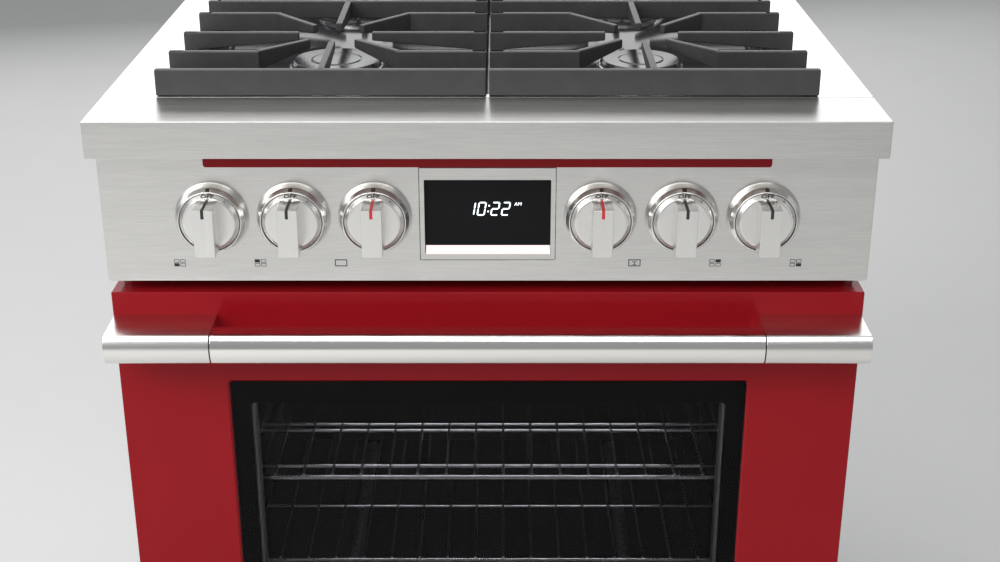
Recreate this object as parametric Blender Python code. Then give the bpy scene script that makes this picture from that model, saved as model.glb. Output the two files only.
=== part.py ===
"""A 30-inch freestanding gas range, built as separate solids. Lengths are in metres.

+Z is up and the front faces -Y. The origin is on the floor, under the middle of the
range's own box: left to right between the side panels, and front to back between the
door handle and the back panel. A moving piece has its origin on its joint's axis.
"""

import math

import bmesh
import bpy
from mathutils import Matrix, Vector

# Overall sizes
WIDTH = 0.759
DEPTH = 0.733
RIM_HEIGHT = 0.915  # floor to the flat rim of the cooktop
LEG_HEIGHT = 0.102

# Clearances and sheet
GAP = 0.0004
SHEET = 0.002
CUT_PAST = 0.01  # how far a cutter runs past the face that it opens

# Front planes, from the front of the handle backwards
HANDLE_PROUD = 0.0155
RAIL_OVERHANG = 0.040
DOOR_SETBACK = 0.0025
RAIL_FRONT_Y = -DEPTH / 2 + HANDLE_PROUD
PANEL_FRONT_Y = RAIL_FRONT_Y + RAIL_OVERHANG
DOOR_FRONT_Y = PANEL_FRONT_Y + DOOR_SETBACK
BACK_Y = DEPTH / 2

# Front rail and cooktop
RAIL_DEPTH = 0.083
RAIL_HEIGHT = 0.0365
RAIL_BEVEL = 0.0016
BACK_TRIM_DEPTH = 0.018
BACK_TRIM_RISE = 0.024
PAN_DROP = 0.020
PAN_MARGIN = 0.0115  # flat margin that the grates' front and rear bars stand on
PAN_FRONT_Y = RAIL_FRONT_Y + RAIL_DEPTH
PAN_BACK_Y = BACK_Y - BACK_TRIM_DEPTH
UNDER_PAN_Z = RIM_HEIGHT - RAIL_HEIGHT

# Grates: a left and a right one, each over a front and a rear burner
GRATE_SPAN = 0.652
GRATE_SPLIT = 0.003
GRATE_HEIGHT = 0.027
GRATE_FOOT = 0.0155
GRATE_FOOT_HEIGHT = 0.007
BAR_WIDTH = 0.008
FINGER_WIDTH = 0.007
BAR_DROP = 0.020
TIP_DROP = 0.009
TIP_REACH = 0.039  # burner's axis to the tips of the side, front and rear fingers
DIAGONAL_TIP = (0.025, 0.031)
DIAGONAL_BEND_X = 0.072
FRONT_ROW = 0.081  # burner's axis to the bar in front of it
REAR_ROW = 0.090
GRATE_FRONT_Y = PAN_FRONT_Y + 0.001
GRATE_BACK_Y = PAN_BACK_Y - 0.001
CROSSBAR_Y = (GRATE_FRONT_Y + GRATE_BACK_Y) / 2
GRATE_MIDDLE_X = (GRATE_SPAN + GRATE_SPLIT) / 4
BURNER_FROM_BAR = 0.156
BURNER_ROWS = {"front": GRATE_FRONT_Y + BURNER_FROM_BAR, "rear": GRATE_BACK_Y - BURNER_FROM_BAR}
SIDES = {"left": -1, "right": 1}

# Burners
HEAD_RADIUS = {"left": 0.050, "right": 0.045}
NECK_RADIUS = 0.027
NECK_CLEARANCE = 0.0015
HEAD_HEIGHT = 0.012
CAP_HEIGHT = 0.006
BURNER_SEGMENTS = 24

# Control panel
PANEL_HEIGHT = 0.1408
PANEL_TOP_Z = UNDER_PAN_Z - GAP
PANEL_BOTTOM_Z = PANEL_TOP_Z - PANEL_HEIGHT
STRIP_HALF = 0.276
STRIP_PROUD = 0.0025
STRIP_TOP_Z = PANEL_TOP_Z - 0.010
STRIP_HEIGHT = 0.0107
DISPLAY_HALF = 0.0672
DISPLAY_HEIGHT = 0.0970
DISPLAY_TOP_Z = STRIP_TOP_Z - STRIP_HEIGHT - 0.0008
DISPLAY_BORDER = 0.0058
DISPLAY_HEAD = 0.0135
DISPLAY_SILL = 0.0115
BEZEL_DEPTH = 0.0052
GLASS_THICKNESS = 0.003

# Knobs
KNOB_Z = PANEL_TOP_Z - 0.0728
SKIRT_RADIUS = 0.0295
SKIRT_GAP = 0.0007
BEZEL_HEIGHT = 0.0155
BEZEL_BASE = SKIRT_RADIUS + 0.0073
KNOB_PITCH = 2 * BEZEL_BASE + 0.0067
INNER_KNOB_X = DISPLAY_HALF + BEZEL_BASE + 0.0066
FACE_RADIUS = SKIRT_RADIUS - 0.0035
KNOB_BACK = 0.0045
KNOB_FACE = 0.0185
KNOB_REACH = 0.048
GRIP_WIDTH = 0.0198
GRIP_HEIGHT = 0.0482
STEM_RADIUS = 0.004
STEM_END = 0.026
STEM_BORE_END = 0.028
PUSH_TRAVEL = 0.003
KNOB_SEGMENTS = 28

# Gas line behind the panel
MANIFOLD_BACK = 0.075
MANIFOLD_RADIUS = 0.010
VALVE_SIZE = 0.024
VALVE_BORE_DEPTH = 0.016
INLET_X = 0.335
INLET_RADIUS = 0.010

# Door
DOOR_TOP_Z = PANEL_BOTTOM_Z - 0.0137
DOOR_BOTTOM_Z = LEG_HEIGHT + 0.093
SKIN_DEPTH = 0.030
LINER_DEPTH = 0.0176
LINER_INSET = 0.022
SEAL_DEPTH = 0.0055
BODY_FRONT_Y = DOOR_FRONT_Y + SKIN_DEPTH + LINER_DEPTH + SEAL_DEPTH + 3 * GAP
WINDOW_HALF = 0.2675
WINDOW_TOP_Z = DOOR_TOP_Z - 0.1005
WINDOW_BOTTOM_Z = DOOR_BOTTOM_Z + 0.135
VIEW_BORDER = 0.020
VIEW_HEAD = 0.0267
GLASS_INSET = 0.0012
WINDOW_GLASS = 0.004
HINGE_X = 0.300
HINGE_WIDTH = 0.022
HINGE_BACK = 0.018  # door's front face to the hinge axis
HINGE_UP = 0.010  # door's bottom edge to the hinge axis
HINGE_BARREL = 0.007
HINGE_PIN = 0.003
PIN_LENGTH = 0.004
NOTCH_CLEARANCE = 0.003
HINGE_Y = DOOR_FRONT_Y + HINGE_BACK
HINGE_Z = DOOR_BOTTOM_Z + HINGE_UP

# Handle
HANDLE_TOP_Z = DOOR_TOP_Z - 0.0241
HANDLE_HEIGHT = 0.030
HANDLE_BULGE = 0.0055
HANDLE_END_X = 0.378
BRACKET_WIDTH = 0.104
BAR_DEPTH = 0.026

# Oven
CAVITY_HALF = 0.300
CAVITY_DEPTH = 0.488
CAVITY_WALL = 0.012
CAVITY_TOP_Z = DOOR_TOP_Z - 0.064
CAVITY_FLOOR_Z = DOOR_BOTTOM_Z + 0.062
SIDE_LIP = 0.006  # fold along a side panel's front edge
FACE_HALF = WIDTH / 2 - SHEET - SIDE_LIP - GAP
RACK_FRONT_Y = BODY_FRONT_Y + 0.019
RACK_DEPTH = 0.430
RACK_CLEARANCE = 0.008
RACK_THICKNESS = 0.005
RACK_WIRE = 0.0035
RACK_WIRES = 9
RACK_FRAME = 0.006
LOWER_RACK_Z = CAVITY_FLOOR_Z + 0.1064
UPPER_RACK_Z = LOWER_RACK_Z + 0.1086
RUNNER = 0.006
RUNNER_REACH = 0.015
FAN_RADIUS = 0.072
FAN_DEPTH = 0.020
FAN_HOLE = 0.010
FAN_HUB = 0.008
FAN_SHAFT = 0.006
FAN_BLADE = 0.002
FAN_BLADES = 6
COVER_HALF = 0.105
COVER_DEPTH = 0.032
BURNER_TUBE = 0.008

# Chassis
KICK_BACK = 0.020  # door's front face to the kick panel's
KICK_TOP_Z = DOOR_BOTTOM_Z - 0.015
BASE_HEIGHT = 0.030
LEG_INSET = 0.060
LEG_BOSS = 0.017
FOOT_RADIUS = 0.021
STEM_OF_LEG = 0.009
THREAD_SHOWN = 0.012
INLET_BOX = (0.110, 0.080, 0.022)


def clear_scene():
    for obj in list(bpy.data.objects):
        bpy.data.objects.remove(obj, do_unlink=True)


def finish(name, colour, roughness, metallic=0.0):
    """A plain Principled material; the same name gives the same material again."""
    material = bpy.data.materials.get(name)
    if material is None:
        material = bpy.data.materials.new(name)
        material.use_nodes = True
        shader = material.node_tree.nodes["Principled BSDF"]
        shader.inputs["Base Color"].default_value = (*colour, 1.0)
        shader.inputs["Roughness"].default_value = roughness
        shader.inputs["Metallic"].default_value = metallic
    return material


def brushed_steel():
    return finish("brushed_steel", (0.62, 0.61, 0.59), 0.32, 1.0)


def polished_steel():
    return finish("polished_steel", (0.74, 0.73, 0.71), 0.16, 1.0)


def red_enamel():
    return finish("red_enamel", (0.30, 0.012, 0.016), 0.22)


def cast_iron():
    return finish("cast_iron", (0.030, 0.030, 0.032), 0.62)


def black_enamel():
    return finish("black_enamel", (0.018, 0.018, 0.020), 0.18)


def galvanised():
    return finish("galvanised", (0.42, 0.43, 0.44), 0.45, 0.9)


def oven_enamel():
    return finish("oven_enamel", (0.020, 0.022, 0.028), 0.35)


def black_glass():
    return finish("black_glass", (0.004, 0.004, 0.005), 0.06)


def chrome_wire():
    return finish("chrome_wire", (0.66, 0.66, 0.66), 0.20, 1.0)


def gas_aluminium():
    return finish("gas_aluminium", (0.60, 0.60, 0.61), 0.38, 1.0)


def brass():
    return finish("brass", (0.60, 0.43, 0.18), 0.30, 1.0)


def seal_fibre():
    return finish("seal_fibre", (0.10, 0.10, 0.10), 0.85)


def mesh_object(name, shape):
    """Turns a bmesh into a linked object whose faces point out."""
    bmesh.ops.recalc_face_normals(shape, faces=shape.faces)
    mesh = bpy.data.meshes.new(name)
    shape.to_mesh(mesh)
    shape.free()
    obj = bpy.data.objects.new(name, mesh)
    bpy.context.scene.collection.objects.link(obj)
    return obj


def box(low, high, name="tool"):
    low, high = Vector(low), Vector(high)
    size = high - low
    shape = bmesh.new()
    place = Matrix.Translation((low + high) / 2) @ Matrix.Diagonal((*size, 1.0))
    bmesh.ops.create_cube(shape, size=1.0, matrix=place)
    return mesh_object(name, shape)


def prism(outline, axis, start, stop, name="tool"):
    """An outline of (first, second) points, carried along X, Y or Z from start to stop."""
    order = {"X": (2, 0, 1), "Y": (0, 2, 1), "Z": (0, 1, 2)}[axis]
    shape = bmesh.new()
    corners = []
    for point in outline:
        flat = (*point, start)
        corners.append(shape.verts.new([flat[index] for index in order]))
    face = shape.faces.new(corners)
    side = bmesh.ops.extrude_face_region(shape, geom=[face])
    moved = [item for item in side["geom"] if isinstance(item, bmesh.types.BMVert)]
    along = Vector([(0.0, 0.0, stop - start)[index] for index in order])
    bmesh.ops.translate(shape, verts=moved, vec=along)
    return mesh_object(name, shape)


def turned(profile, centre, axis, segments=32, name="tool"):
    """Spins (radius, distance along the axis) points round an axis through centre."""
    centre, axis = Vector(centre), Vector(axis).normalized()
    across = axis.orthogonal().normalized()
    shape = bmesh.new()
    ring = [shape.verts.new(centre + across * radius + axis * height) for radius, height in profile]
    pairs = list(zip(ring, ring[1:]))
    if profile[0][0] > 0:
        pairs.append((ring[-1], ring[0]))
    edges = [shape.edges.new(pair) for pair in pairs]
    bmesh.ops.spin(
        shape,
        geom=ring + edges,
        cent=centre,
        axis=axis,
        angle=math.tau,
        steps=segments,
        use_merge=True,
    )
    bmesh.ops.remove_doubles(shape, verts=shape.verts, dist=1e-6)
    return mesh_object(name, shape)


def rod(start, stop, radius, segments=16, name="tool"):
    start, stop = Vector(start), Vector(stop)
    length = (stop - start).length
    profile = [(0.0, 0.0), (radius, 0.0), (radius, length), (0.0, length)]
    return turned(profile, start, stop - start, segments, name)


def pipe(points, radius, name):
    """A round bar along a route of straight runs."""
    curve = bpy.data.curves.new(name, "CURVE")
    curve.dimensions = "3D"
    curve.bevel_depth = radius
    curve.bevel_resolution = 2
    curve.use_fill_caps = True
    spline = curve.splines.new("POLY")
    spline.points.add(len(points) - 1)
    for slot, point in zip(spline.points, points):
        slot.co = (*point, 1.0)
    obj = bpy.data.objects.new(name, curve)
    bpy.context.scene.collection.objects.link(obj)
    return obj


def settle(obj):
    """Replaces an object's mesh by what its modifiers make of it."""
    graph = bpy.context.evaluated_depsgraph_get()
    made = bpy.data.meshes.new_from_object(obj.evaluated_get(graph))
    obj.modifiers.clear()
    obj.data = made


def boolean(obj, tools, operation):
    for tool in tools:
        step = obj.modifiers.new(operation.title(), "BOOLEAN")
        step.operation = operation
        step.solver = "EXACT"
        step.object = tool
    settle(obj)
    for tool in tools:
        bpy.data.objects.remove(tool, do_unlink=True)
    return obj


def cut(obj, *tools):
    return boolean(obj, tools, "DIFFERENCE")


def join(obj, *tools):
    return boolean(obj, tools, "UNION")


def soften(obj, width, segments=1, angle=40):
    step = obj.modifiers.new("Soften", "BEVEL")
    step.width = width
    step.segments = segments
    step.limit_method = "ANGLE"
    step.angle_limit = math.radians(angle)
    settle(obj)
    return obj


def done(obj, name, material, origin=None, smooth=False):
    """Names a finished piece, gives it its material and moves its origin to a point."""
    obj.name = name
    obj.data.name = name
    obj.data.materials.clear()
    obj.data.materials.append(material)
    if origin is not None:
        obj.data.transform(Matrix.Translation(-Vector(origin)))
        obj.location = origin
    if smooth:
        obj.data.shade_smooth()
        obj.data.set_sharp_from_angle(angle=math.radians(35))
    return obj


def mirrored(side, low, high):
    """A box's corners, with its X span swapped to the given side of the middle."""
    spans = sorted((side * low[0], side * high[0]))
    return (spans[0], *low[1:]), (spans[1], *high[1:])


def leg_places():
    front = BODY_FRONT_Y + LEG_INSET
    rear = BACK_Y - SHEET - LEG_INSET
    side_x = WIDTH / 2 - LEG_INSET
    return {
        "front_left": (-side_x, front),
        "front_right": (side_x, front),
        "rear_left": (-side_x, rear),
        "rear_right": (side_x, rear),
    }


def base_frame():
    """A shallow tray that carries the body, with a bored boss over each leg."""
    edge = WIDTH / 2 - SHEET - GAP
    front, rear = BODY_FRONT_Y + GAP, BACK_Y - SHEET - 2 * GAP
    low, high = LEG_HEIGHT, LEG_HEIGHT + BASE_HEIGHT
    tray = box((-edge, front, low), (edge, rear, high))
    hollow = box(
        (-edge + SHEET, front + SHEET, low + SHEET), (edge - SHEET, rear - SHEET, high + CUT_PAST)
    )
    cut(tray, hollow)
    bosses = []
    bores = []
    for x, y in leg_places().values():
        bosses.append(rod((x, y, low + SHEET / 2), (x, y, high - SHEET), LEG_BOSS))
        bores.append(rod((x, y, low - CUT_PAST), (x, y, high + CUT_PAST), STEM_OF_LEG + GAP))
    join(tray, *bosses)
    cut(tray, *bores)
    done(tray, "base_frame", galvanised())


def legs():
    """Levelling legs: a wide foot on a stem that screws into the base."""
    for name, (x, y) in leg_places().items():
        stem_top = LEG_HEIGHT + BASE_HEIGHT - SHEET
        sleeve = LEG_HEIGHT - GAP
        profile = [
            (0.0, 0.0),
            (FOOT_RADIUS, 0.0),
            (FOOT_RADIUS, 0.008),
            (FOOT_RADIUS - 0.004, 0.012),
            (FOOT_RADIUS - 0.004, sleeve - THREAD_SHOWN),
            (STEM_OF_LEG, sleeve - THREAD_SHOWN),
            (STEM_OF_LEG, stem_top),
            (0.0, stem_top),
        ]
        leg = turned(profile, (x, y, 0.0), (0, 0, 1), 16)
        done(leg, f"leg_{name}", brushed_steel(), (x, y, LEG_HEIGHT), smooth=True)


def side_panels():
    """Folded sheets: the outer face with a return at the front and at the rear."""
    low, high = LEG_HEIGHT + BASE_HEIGHT + GAP, UNDER_PAN_Z - GAP
    front, rear = BODY_FRONT_Y + GAP, BACK_Y
    for word, side in SIDES.items():
        outer = side * WIDTH / 2
        inner = side * (WIDTH / 2 - SHEET)
        lip_x = side * (WIDTH / 2 - SHEET - SIDE_LIP)
        outline = [
            (outer, front),
            (lip_x, front),
            (lip_x, front + SHEET),
            (inner, front + SHEET),
            (inner, rear),
            (outer, rear),
        ]
        panel = prism(outline, "Z", low, high)
        skirt = box(
            *mirrored(
                side,
                (WIDTH / 2 - SHEET, front, LEG_HEIGHT),
                (WIDTH / 2, rear, low + SHEET),
            )
        )
        join(panel, skirt)
        done(panel, f"side_panel_{word}", galvanised())


def back_panel():
    """The rear sheet, with the raised power inlet housing and the gas pipe's hole."""
    edge = WIDTH / 2 - SHEET - GAP
    low, high = LEG_HEIGHT + BASE_HEIGHT + GAP, UNDER_PAN_Z - GAP
    rear = BACK_Y - GAP
    panel = box((-edge, rear - SHEET, low), (edge, rear, high))
    width, height, depth = INLET_BOX
    box_x, box_z = -WIDTH / 4, low + 0.080
    housing = box(
        (box_x - width / 2, rear - depth, box_z), (box_x + width / 2, rear - SHEET / 2, box_z + height)
    )
    join(panel, housing)
    recess = box(
        (box_x - width / 2 + SHEET, rear - depth + SHEET, box_z + SHEET),
        (box_x + width / 2 - SHEET, rear + CUT_PAST, box_z + height - SHEET),
    )
    gas_hole = rod(
        (INLET_X, rear - CUT_PAST, inlet_height()),
        (INLET_X, rear + CUT_PAST, inlet_height()),
        INLET_RADIUS + 4 * GAP,
    )
    cut(panel, recess, gas_hole)
    done(panel, "back_panel", galvanised())


def inlet_height():
    return LEG_HEIGHT + BASE_HEIGHT + 0.060


def kick_panel():
    """A removable toe board hung between the front legs."""
    edge = WIDTH / 2 - 0.006
    front = DOOR_FRONT_Y + KICK_BACK
    rear = BODY_FRONT_Y
    low = LEG_HEIGHT - 0.012
    board = box((-edge, front, low), (edge, rear, KICK_TOP_Z))
    behind = box(
        (-edge + SHEET, front + SHEET, low + SHEET),
        (edge - SHEET, rear + CUT_PAST, KICK_TOP_Z - SHEET),
    )
    cut(board, behind)
    done(board, "kick_panel", brushed_steel())


def front_rail():
    """The deep front rail, a folded shell that is open at its rear."""
    edge = WIDTH / 2
    rear = PAN_FRONT_Y - GAP
    rail = box((-edge, RAIL_FRONT_Y, UNDER_PAN_Z), (edge, rear, RIM_HEIGHT))
    soften(rail, RAIL_BEVEL, 2)
    hollow = box(
        (-edge + SHEET, RAIL_FRONT_Y + SHEET, UNDER_PAN_Z + SHEET),
        (edge - SHEET, rear + CUT_PAST, RIM_HEIGHT - SHEET),
    )
    cut(rail, hollow)
    done(rail, "front_rail", brushed_steel())


def cooktop_pan():
    """The pressed top: raised side ledges round a sunk pan with four burner holes."""
    edge = WIDTH / 2
    well_x = GRATE_SPAN / 2 - GRATE_FOOT
    front, rear = PAN_FRONT_Y, PAN_BACK_Y - GAP
    pan = box((-edge, front, UNDER_PAN_Z + GAP), (edge, rear, RIM_HEIGHT))
    floor_z = RIM_HEIGHT - PAN_DROP
    well = box(
        (-well_x, front + PAN_MARGIN, floor_z), (well_x, rear - PAN_MARGIN, RIM_HEIGHT + CUT_PAST)
    )
    under = box(
        (-edge + SHEET, front + SHEET, UNDER_PAN_Z - CUT_PAST),
        (edge - SHEET, rear - SHEET, floor_z - SHEET),
    )
    tools = [well, under]
    for side in SIDES.values():
        tools.append(
            box(
                *mirrored(
                    side,
                    (well_x + SHEET, front + SHEET, UNDER_PAN_Z - CUT_PAST),
                    (edge - SHEET, rear - SHEET, RIM_HEIGHT - SHEET),
                )
            )
        )
    for side in SIDES.values():
        for row in BURNER_ROWS.values():
            place = (side * GRATE_MIDDLE_X, row)
            hole = NECK_RADIUS + NECK_CLEARANCE
            tools.append(rod((*place, floor_z - CUT_PAST), (*place, floor_z + CUT_PAST), hole, 32))
    cut(pan, *tools)
    done(pan, "cooktop_pan", brushed_steel())


def back_trim():
    """A low trim behind the cooktop, with slots that let the oven's vent out."""
    edge = WIDTH / 2
    top = RIM_HEIGHT + BACK_TRIM_RISE
    trim = box((-edge, PAN_BACK_Y, UNDER_PAN_Z + GAP), (edge, BACK_Y, top))
    soften(trim, RAIL_BEVEL, 2)
    channel = box(
        (-edge + SHEET, PAN_BACK_Y + SHEET, UNDER_PAN_Z - CUT_PAST),
        (edge - SHEET, BACK_Y - SHEET, top - SHEET),
    )
    slots = []
    slot_length, slot_width, pitch = 0.050, 0.008, 0.062
    for step in range(-4, 5):
        middle = step * pitch
        slots.append(
            box(
                (middle - slot_length / 2, BACK_Y - BACK_TRIM_DEPTH / 2 - slot_width / 2, top - CUT_PAST),
                (middle + slot_length / 2, BACK_Y - BACK_TRIM_DEPTH / 2 + slot_width / 2, top + CUT_PAST),
            )
        )
    cut(trim, channel, *slots)
    done(trim, "back_trim", brushed_steel())


def blade(start, stop, width, drops):
    """An upright bar between two (x, y) points, whose depth runs from one drop to the other."""
    start, stop = Vector((*start, 0.0)), Vector((*stop, 0.0))
    along = (stop - start).normalized()
    across = Vector((-along.y, along.x, 0.0)) * (width / 2)
    top = RIM_HEIGHT + GRATE_HEIGHT
    shape = bmesh.new()
    for point, drop in zip((start, stop), drops):
        for height in (top - drop, top):
            for offset in (-across, across):
                shape.verts.new(point + offset + Vector((0.0, 0.0, height)))
    bmesh.ops.convex_hull(shape, input=shape.verts)
    bmesh.ops.dissolve_limit(shape, angle_limit=0.001, verts=shape.verts, edges=shape.edges)
    return mesh_object("tool", shape)


def burner_fingers(side, row, facing):
    """The fingers round one burner; facing is -1 where the end bar is in front, +1 behind."""
    centre_x = side * GRATE_MIDDLE_X
    left, right = grate_edges(side)
    overlap = FINGER_WIDTH / 2
    pieces = []
    for outward, edge in ((-1, left), (1, right)):
        inset_edge = edge - outward * GRATE_FOOT / 2
        tip = centre_x + outward * TIP_REACH
        pieces.append(blade((inset_edge, row), (tip, row), FINGER_WIDTH, (BAR_DROP, TIP_DROP)))
        bend = centre_x + outward * DIAGONAL_BEND_X
        diagonal = centre_x + outward * DIAGONAL_TIP[0]
        for way, distance in ((facing, FRONT_ROW), (-facing, REAR_ROW)):
            bar_y = row + way * distance
            tip_y = row + way * DIAGONAL_TIP[1]
            pieces.append(
                blade(
                    (inset_edge, bar_y),
                    (bend - outward * overlap, bar_y),
                    FINGER_WIDTH,
                    (BAR_DROP, BAR_DROP),
                )
            )
            pieces.append(
                blade((bend, bar_y), (diagonal, tip_y), FINGER_WIDTH, (BAR_DROP, TIP_DROP))
            )
    end_bar = GRATE_FRONT_Y if facing < 0 else GRATE_BACK_Y
    for way, bar_y in ((facing, end_bar - facing * BAR_WIDTH / 2), (-facing, CROSSBAR_Y)):
        tip = (centre_x, row + way * TIP_REACH)
        pieces.append(blade((centre_x, bar_y), tip, FINGER_WIDTH, (BAR_DROP, TIP_DROP)))
    return pieces


def grate_edges(side):
    return sorted((side * GRATE_SPLIT / 2, side * GRATE_SPAN / 2))


def grates():
    """Each grate: end bars and a crossbar on two low side rails, with fingers to each burner."""
    foot_low, foot_high = RIM_HEIGHT + GAP, RIM_HEIGHT + GRATE_FOOT_HEIGHT
    full = GRATE_HEIGHT - GAP
    teeth_rows = [CROSSBAR_Y]
    for facing, row in ((-1, BURNER_ROWS["front"]), (1, BURNER_ROWS["rear"])):
        teeth_rows += [row, row + facing * FRONT_ROW, row - facing * REAR_ROW]
    for word, side in SIDES.items():
        left, right = grate_edges(side)
        front_bar = GRATE_FRONT_Y + BAR_WIDTH / 2
        rear_bar = GRATE_BACK_Y - BAR_WIDTH / 2
        grate = blade((left, front_bar), (right, front_bar), BAR_WIDTH, (full, full))
        pieces = [
            blade((left, rear_bar), (right, rear_bar), BAR_WIDTH, (full, full)),
            blade((left, CROSSBAR_Y), (right, CROSSBAR_Y), BAR_WIDTH, (BAR_DROP, BAR_DROP)),
        ]
        for low_x in (left, right - GRATE_FOOT):
            pieces.append(
                box(
                    (low_x, front_bar, foot_low),
                    (low_x + GRATE_FOOT, rear_bar, foot_high),
                )
            )
            for tooth_y in teeth_rows:
                pieces.append(
                    blade(
                        (low_x, tooth_y),
                        (low_x + GRATE_FOOT, tooth_y),
                        FINGER_WIDTH - GAP,
                        (full - GRATE_FOOT_HEIGHT / 2, full - GRATE_FOOT_HEIGHT / 2),
                    )
                )
        pieces += burner_fingers(side, BURNER_ROWS["front"], -1)
        pieces += burner_fingers(side, BURNER_ROWS["rear"], 1)
        join(grate, *pieces)
        origin = (side * GRATE_MIDDLE_X, CROSSBAR_Y, RIM_HEIGHT)
        done(grate, f"grate_{word}", cast_iron(), origin)


def burners():
    """Sealed burners: a head through each hole of the pan, under a loose cap."""
    floor_z = RIM_HEIGHT - PAN_DROP
    for word, side in SIDES.items():
        radius = HEAD_RADIUS[word]
        for row_name, row in BURNER_ROWS.items():
            place = (side * GRATE_MIDDLE_X, row, floor_z)
            mouth = NECK_RADIUS - SHEET * 2
            head = turned(
                [
                    (mouth, -SHEET - 0.008),
                    (NECK_RADIUS, -SHEET - 0.008),
                    (NECK_RADIUS, GAP),
                    (radius, GAP),
                    (radius, HEAD_HEIGHT - 0.0015),
                    (radius - 0.0015, HEAD_HEIGHT),
                    (mouth, HEAD_HEIGHT),
                ],
                place,
                (0, 0, 1),
                BURNER_SEGMENTS,
            )
            done(head, f"burner_head_{row_name}_{word}", gas_aluminium(), smooth=True)
            base = HEAD_HEIGHT + GAP
            cap = turned(
                [
                    (0.0, base),
                    (radius - 0.003, base),
                    (radius - 0.002, base + CAP_HEIGHT * 0.45),
                    (radius - 0.006, base + CAP_HEIGHT * 0.85),
                    (0.0, base + CAP_HEIGHT),
                ],
                place,
                (0, 0, 1),
                BURNER_SEGMENTS,
            )
            done(cap, f"burner_cap_{row_name}_{word}", black_enamel(), smooth=True)


def knob_places():
    names = ["front_left", "rear_left", "oven_temperature", "oven_mode", "rear_right", "front_right"]
    spots = [-(INNER_KNOB_X + KNOB_PITCH * step) for step in (2, 1, 0)]
    spots += [INNER_KNOB_X + KNOB_PITCH * step for step in (0, 1, 2)]
    return dict(zip(names, spots))


def control_panel():
    """A folded panel, open at its rear, with the display's opening and six shaft holes."""
    edge = WIDTH / 2
    panel = box(
        (-edge, PANEL_FRONT_Y, PANEL_BOTTOM_Z), (edge, BODY_FRONT_Y - GAP, PANEL_TOP_Z)
    )
    behind = box(
        (-edge + SHEET, PANEL_FRONT_Y + SHEET, PANEL_BOTTOM_Z + SHEET),
        (edge - SHEET, BODY_FRONT_Y + CUT_PAST, PANEL_TOP_Z - SHEET),
    )
    opening = box(
        (-DISPLAY_HALF, PANEL_FRONT_Y - CUT_PAST, DISPLAY_TOP_Z - DISPLAY_HEIGHT),
        (DISPLAY_HALF, PANEL_FRONT_Y + CUT_PAST, DISPLAY_TOP_Z),
    )
    holes = [
        rod(
            (x, PANEL_FRONT_Y - CUT_PAST, KNOB_Z),
            (x, PANEL_FRONT_Y + CUT_PAST, KNOB_Z),
            STEM_RADIUS + SHEET,
        )
        for x in knob_places().values()
    ]
    cut(panel, behind, opening, *holes)
    done(panel, "control_panel", brushed_steel())


def accent_strip():
    strip = box(
        (-STRIP_HALF, PANEL_FRONT_Y - STRIP_PROUD, STRIP_TOP_Z - STRIP_HEIGHT),
        (STRIP_HALF, PANEL_FRONT_Y - GAP, STRIP_TOP_Z),
    )
    soften(strip, STRIP_PROUD / 3)
    done(strip, "accent_strip", red_enamel())


def display():
    """The display's frame, whose sill slopes inwards, and the dark glass behind it."""
    half = DISPLAY_HALF - GAP
    top, bottom = DISPLAY_TOP_Z - GAP, DISPLAY_TOP_Z - DISPLAY_HEIGHT + GAP
    frame = box((-half, PANEL_FRONT_Y, bottom), (half, PANEL_FRONT_Y + BEZEL_DEPTH, top))
    opening_top = DISPLAY_TOP_Z - DISPLAY_HEAD
    sill = DISPLAY_TOP_Z - DISPLAY_HEIGHT + DISPLAY_SILL
    slope = BEZEL_DEPTH + CUT_PAST
    outline = [
        (PANEL_FRONT_Y - CUT_PAST, opening_top),
        (PANEL_FRONT_Y - CUT_PAST, sill - CUT_PAST),
        (PANEL_FRONT_Y - CUT_PAST + slope, sill - CUT_PAST + slope),
        (PANEL_FRONT_Y + BEZEL_DEPTH + CUT_PAST, sill + BEZEL_DEPTH),
        (PANEL_FRONT_Y + BEZEL_DEPTH + CUT_PAST, opening_top),
    ]
    opening_half = DISPLAY_HALF - DISPLAY_BORDER
    cut(frame, prism(outline, "X", -opening_half, opening_half))
    done(frame, "display_bezel", brushed_steel())
    front = PANEL_FRONT_Y + BEZEL_DEPTH + GAP
    margin = DISPLAY_BORDER / 2
    glass = box(
        (-opening_half - margin, front, sill - margin),
        (opening_half + margin, front + GLASS_THICKNESS, opening_top + margin),
    )
    done(glass, "display_glass", black_glass())


def knob_bezels():
    bore = SKIRT_RADIUS + SKIRT_GAP
    profile = [
        (bore, GAP),
        (BEZEL_BASE, GAP),
        (BEZEL_BASE - 0.0006, 0.003),
        (BEZEL_BASE - 0.0025, BEZEL_HEIGHT * 0.65),
        (bore + 0.0008, BEZEL_HEIGHT),
        (bore, BEZEL_HEIGHT),
    ]
    for name, x in knob_places().items():
        ring = turned(profile, (x, PANEL_FRONT_Y, KNOB_Z), (0, -1, 0), KNOB_SEGMENTS)
        done(ring, f"knob_bezel_{name}", polished_steel(), smooth=True)


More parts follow.
